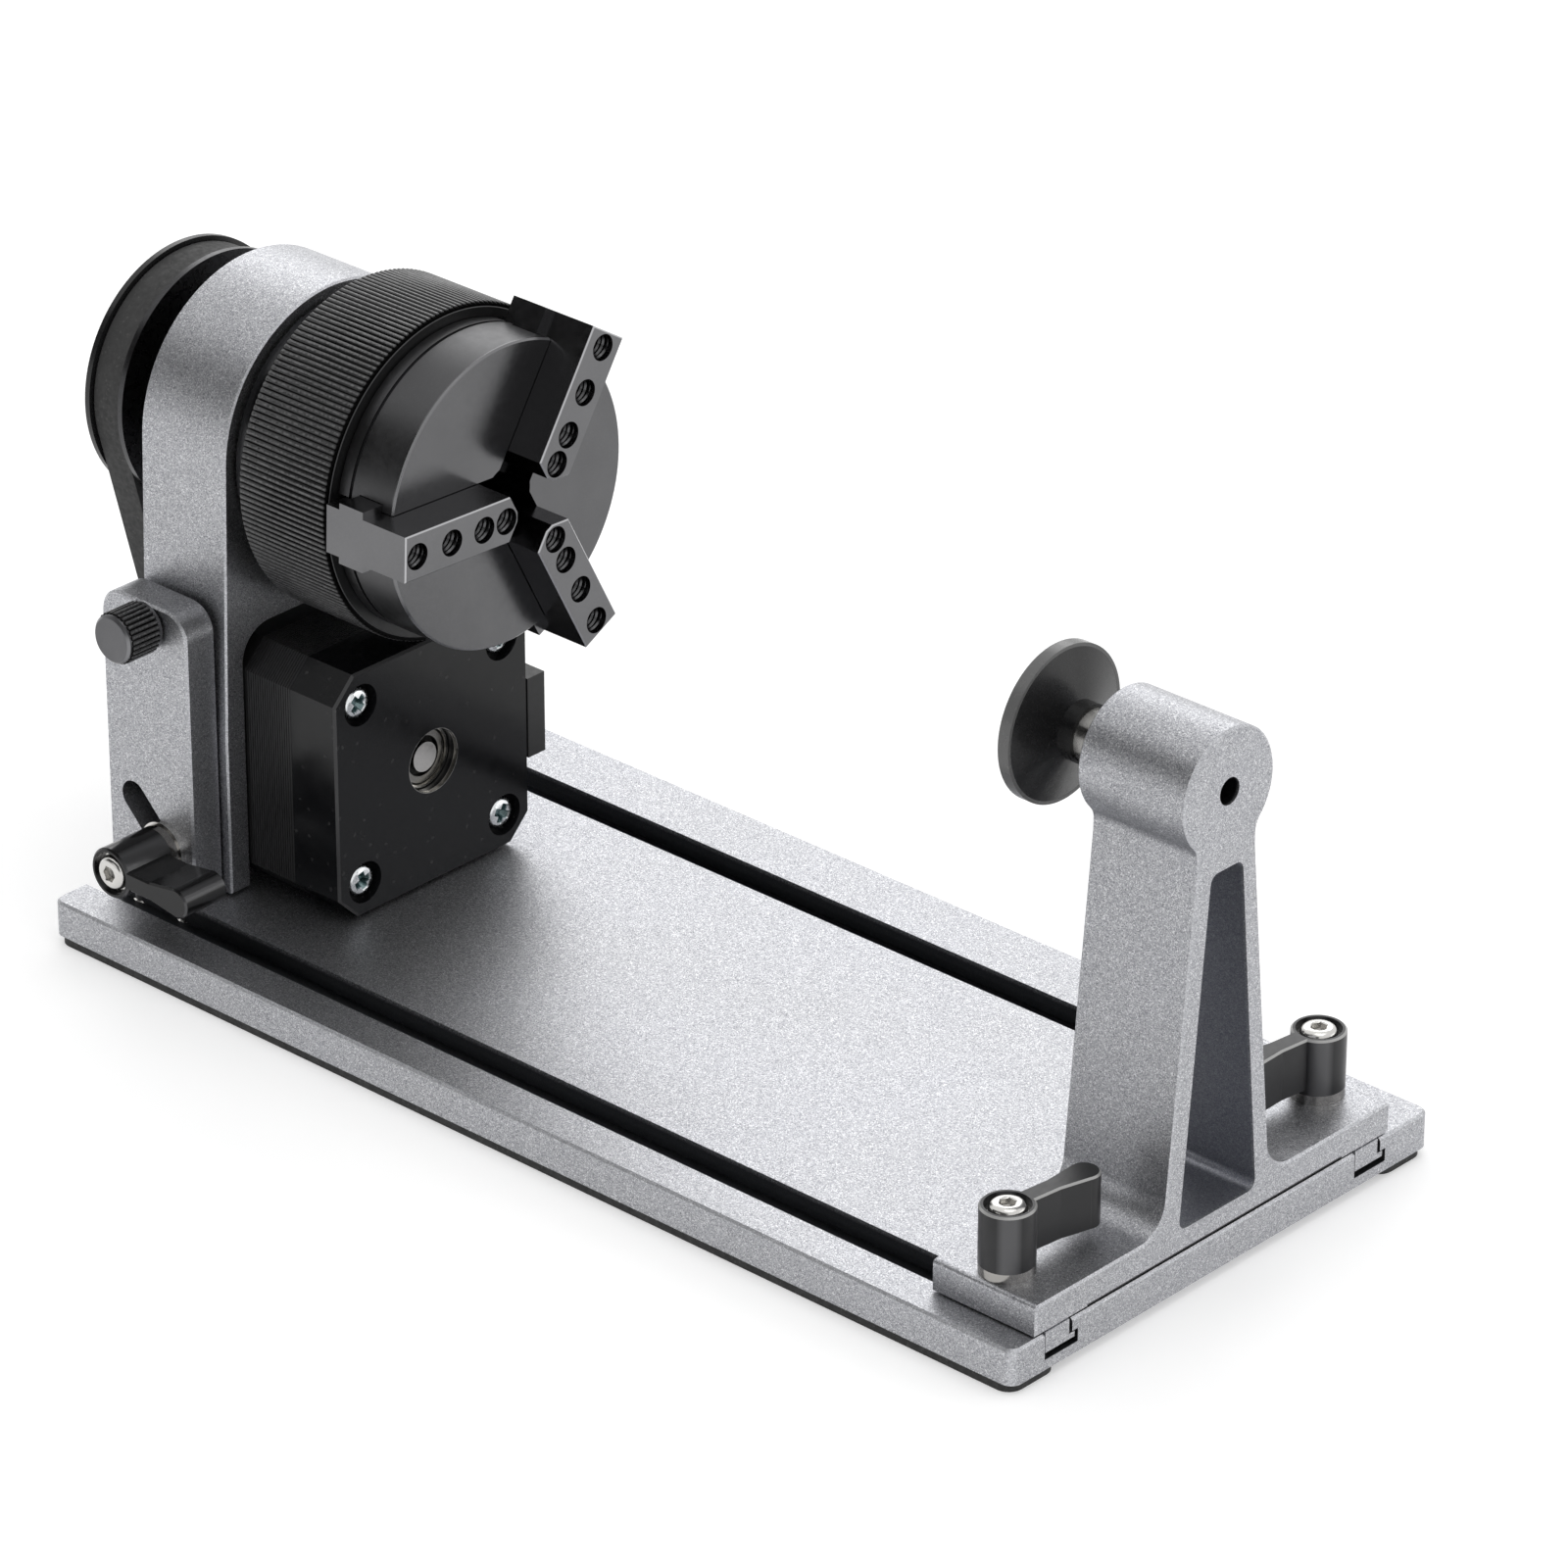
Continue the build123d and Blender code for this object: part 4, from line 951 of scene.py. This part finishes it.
for name, body, radius, count, z in (
    ("drive_pulley_teeth", "spindle", rim_big, teeth_big, spindle_z),
    ("motor_pulley_teeth", "motor_rotor", rim_small, teeth_small, motor_z),
):
    tooth = toothed(radius + rim_lift, rim_tooth_depth, count)
    inner = radius - rim_wall
    levels = [(0, inner), (0, tooth), (belt_width, tooth), (belt_width, inner)]
    shape = ring_shape(levels, even_angles(count * 8))
    shape.transform(frame_towards((1, 0, 0), (belt_low.x, spindle_y, z)))
    add_piece(name, shape, body, "black_anodised")

# The belt's straight runs leave the pulleys where both circles share a tangent
drop = spindle_z - motor_z
lean = math.asin((rim_big - rim_small) / drop)
run_length = drop * math.cos(lean)
teeth = []
for side in (-1, 1):
    outward = Vector((0, side * math.cos(lean), -math.sin(lean)))
    along = Vector((0, side * math.sin(lean), math.cos(lean)))
    start = Vector((belt_low.x, spindle_y, motor_z)) + outward * (rim_small + belt_gap)
    for index in range(int(run_length / tooth_pitch)):
        centre = start + along * (tooth_pitch * (index + 0.5))
        teeth.append((belt_tooth(centre, along, outward), Matrix.Identity(4)))
add_piece("drive_belt_teeth", joined(teeth), "headstock", "belt_rubber")


# Rubber strips with rounded ends that reach nearly to the base's ends
strip_reach = 1.4 * MM
strip_outward = 0.5 * MM
strip_corner = 2.5 * MM


def rounded_strip(length, width, height, radius, steps=6):
    """Flat strip along +X from the origin, with rounded corners seen from above."""
    made = bmesh.new()
    near = radius - width / 2
    far = width / 2 - radius
    arc_centres = ((length - radius, far), (radius, far), (radius, near), (length - radius, near))
    outline = []
    for quarter, (x, y) in enumerate(arc_centres):
        for step in range(steps + 1):
            angle = (quarter + step / steps) * math.pi / 2
            outline.append((x + radius * math.cos(angle), y + radius * math.sin(angle)))
    low = [made.verts.new((x, y, 0)) for x, y in outline]
    high = [made.verts.new((x, y, height)) for x, y in outline]
    join_loops(made, low, high)
    made.faces.new(list(reversed(low)))
    made.faces.new(high)
    return made


for side, direction in (("near", -1), ("far", 1)):
    low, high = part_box(f"rubber_strip_{side}")
    length = high.x - low.x + 2 * strip_reach
    width = high.y - low.y + strip_outward
    shape = rounded_strip(length, width, high.z - low.z, strip_corner)
    middle_y = (low.y + high.y + direction * strip_outward) / 2
    shape.transform(Matrix.Translation((low.x - strip_reach, middle_y, low.z)))
    strip = add_piece(f"rubber_strip_{side}_rounded", shape, "base", "rubber")
    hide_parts(f"rubber_strip_{side}")


# Floor and world, both plain white where they are looked at
def seen_share(tree):
    """1 where the camera, a reflection or glass looks at the surface, and 0 for every other ray."""
    rays = tree.nodes.new("ShaderNodeLightPath")
    share = rays.outputs["Is Camera Ray"]
    for ray in ("Is Glossy Ray", "Is Transmission Ray"):
        either = tree.nodes.new("ShaderNodeMath")
        either.operation = "MAXIMUM"
        tree.links.new(share, either.inputs[0])
        tree.links.new(rays.outputs[ray], either.inputs[1])
        share = either.outputs[0]
    return share


def single_face(name, corners, material):
    """An object with one face, for the studio round the chuck."""
    mesh = bpy.data.meshes.new(name)
    mesh.from_pydata(corners, [], [(0, 1, 2, 3)])
    mesh.materials.append(material)
    made = bpy.data.objects.new(name, mesh)
    bpy.context.scene.collection.objects.link(made)
    return made


paper = bpy.data.materials.new("white_paper")
paper.use_nodes = True
tree = paper.node_tree
tree.nodes.remove(tree.nodes["Principled BSDF"])
matt = tree.nodes.new("ShaderNodeBsdfDiffuse")
matt.inputs["Color"].default_value = (0.8, 0.8, 0.8, 1)
glow = tree.nodes.new("ShaderNodeEmission")
glow.inputs["Color"].default_value = (1, 1, 1, 1)
glow_strength = tree.nodes.new("ShaderNodeMath")
glow_strength.operation = "MULTIPLY"
glow_strength.inputs[1].default_value = 0.32
tree.links.new(seen_share(tree), glow_strength.inputs[0])
tree.links.new(glow_strength.outputs[0], glow.inputs["Strength"])
both = tree.nodes.new("ShaderNodeAddShader")
tree.links.new(matt.outputs[0], both.inputs[0])
tree.links.new(glow.outputs[0], both.inputs[1])
tree.links.new(both.outputs[0], tree.nodes["Material Output"].inputs["Surface"])

reach = 3.0
floor_corners = [(-reach, -reach, 0), (reach, -reach, 0), (reach, reach, 0), (-reach, reach, 0)]
floor = single_face("floor", floor_corners, paper)
floor.location.z = -0.05 * MM

world = bpy.data.worlds.new("studio")
bpy.context.scene.world = world
world.use_nodes = True
tree = world.node_tree
dim = tree.nodes["Background"]
dim.inputs["Color"].default_value = (1, 1, 1, 1)
dim.inputs["Strength"].default_value = 0.8
white = tree.nodes.new("ShaderNodeBackground")
white.inputs["Color"].default_value = (1, 1, 1, 1)
white.inputs["Strength"].default_value = 1.0
mixed = tree.nodes.new("ShaderNodeMixShader")
tree.links.new(seen_share(tree), mixed.inputs[0])
tree.links.new(dim.outputs[0], mixed.inputs[1])
tree.links.new(white.outputs[0], mixed.inputs[2])
tree.links.new(mixed.outputs[0], tree.nodes["World Output"].inputs["Surface"])

# Lights
target = Vector((0, 0, 0.04))


def softbox(name, place, width, height, power):
    """Area lamp that faces the object."""
    data = bpy.data.lights.new(name, "AREA")
    data.shape = "RECTANGLE"
    data.size = width
    data.size_y = height
    data.energy = power
    lamp = bpy.data.objects.new(name, data)
    lamp.location = place
    lamp.rotation_euler = (Vector(place) - target).to_track_quat("Z", "Y").to_euler()
    bpy.context.scene.collection.objects.link(lamp)


softbox("back_softbox", (-0.60, 0.68, 0.58), 0.9, 0.5, 2.3)
softbox("top_softbox", (0.15, 0.1, 1.1), 0.6, 0.6, 1.5)
softbox("side_softbox", (-0.2, -1.0, 0.35), 0.6, 0.3, 0.5)
softbox("end_softbox", (0.9, 0.75, 0.32), 0.7, 0.4, 0.9)

# Dark curtain on the camera's side of the studio, which only reflections see
cloth = bpy.data.materials.new("dark_cloth")
cloth.use_nodes = True
cloth_shader = cloth.node_tree.nodes["Principled BSDF"]
cloth_shader.inputs["Base Color"].default_value = (0.02, 0.02, 0.02, 1)
cloth_shader.inputs["Roughness"].default_value = 1.0
curtain_left, curtain_right = -2.5, 1.2
hem_y, hem_z = -1.5, 0.25
rail_y, rail_z = -1.2, 1.65
curtain_corners = [
    (curtain_left, hem_y, hem_z),
    (curtain_right, hem_y, hem_z),
    (curtain_right, rail_y, rail_z),
    (curtain_left, rail_y, rail_z),
]
curtain = single_face("curtain", curtain_corners, cloth)
curtain.visible_camera = False
curtain.visible_diffuse = False
curtain.visible_transmission = False
curtain.visible_shadow = False

# Camera, fitted to the photograph
photo_side = 1600
focal_pixels = 8135.73
centre_across, centre_down = 800.33, 805.39
camera_place = Vector((0.73854, -0.78092, 0.60126))
yaw, pitch, roll = 2.31514, -0.47997, 0.00109
sensor_width = 36.0

forward = Vector((math.cos(pitch) * math.cos(yaw), math.cos(pitch) * math.sin(yaw), math.sin(pitch)))
right = forward.cross(Vector((0, 0, 1))).normalized()
upward = right.cross(forward)
rolled_right = right * math.cos(roll) + upward * math.sin(roll)
rolled_up = upward * math.cos(roll) - right * math.sin(roll)
turn = Matrix((rolled_right, rolled_up, -forward)).transposed().to_4x4()
camera_data = bpy.data.cameras.new("camera")
camera_data.sensor_width = sensor_width
camera_data.lens = sensor_width * focal_pixels / photo_side
camera_data.shift_x = (photo_side / 2 - centre_across) / photo_side
camera_data.shift_y = (centre_down - photo_side / 2) / photo_side
camera_data.clip_start = 0.01
camera = bpy.data.objects.new("camera", camera_data)
camera.matrix_world = Matrix.Translation(camera_place) @ turn
bpy.context.scene.collection.objects.link(camera)
bpy.context.scene.camera = camera
bpy.context.scene.view_settings.view_transform = "Standard"

bpy.context.view_layer.update()
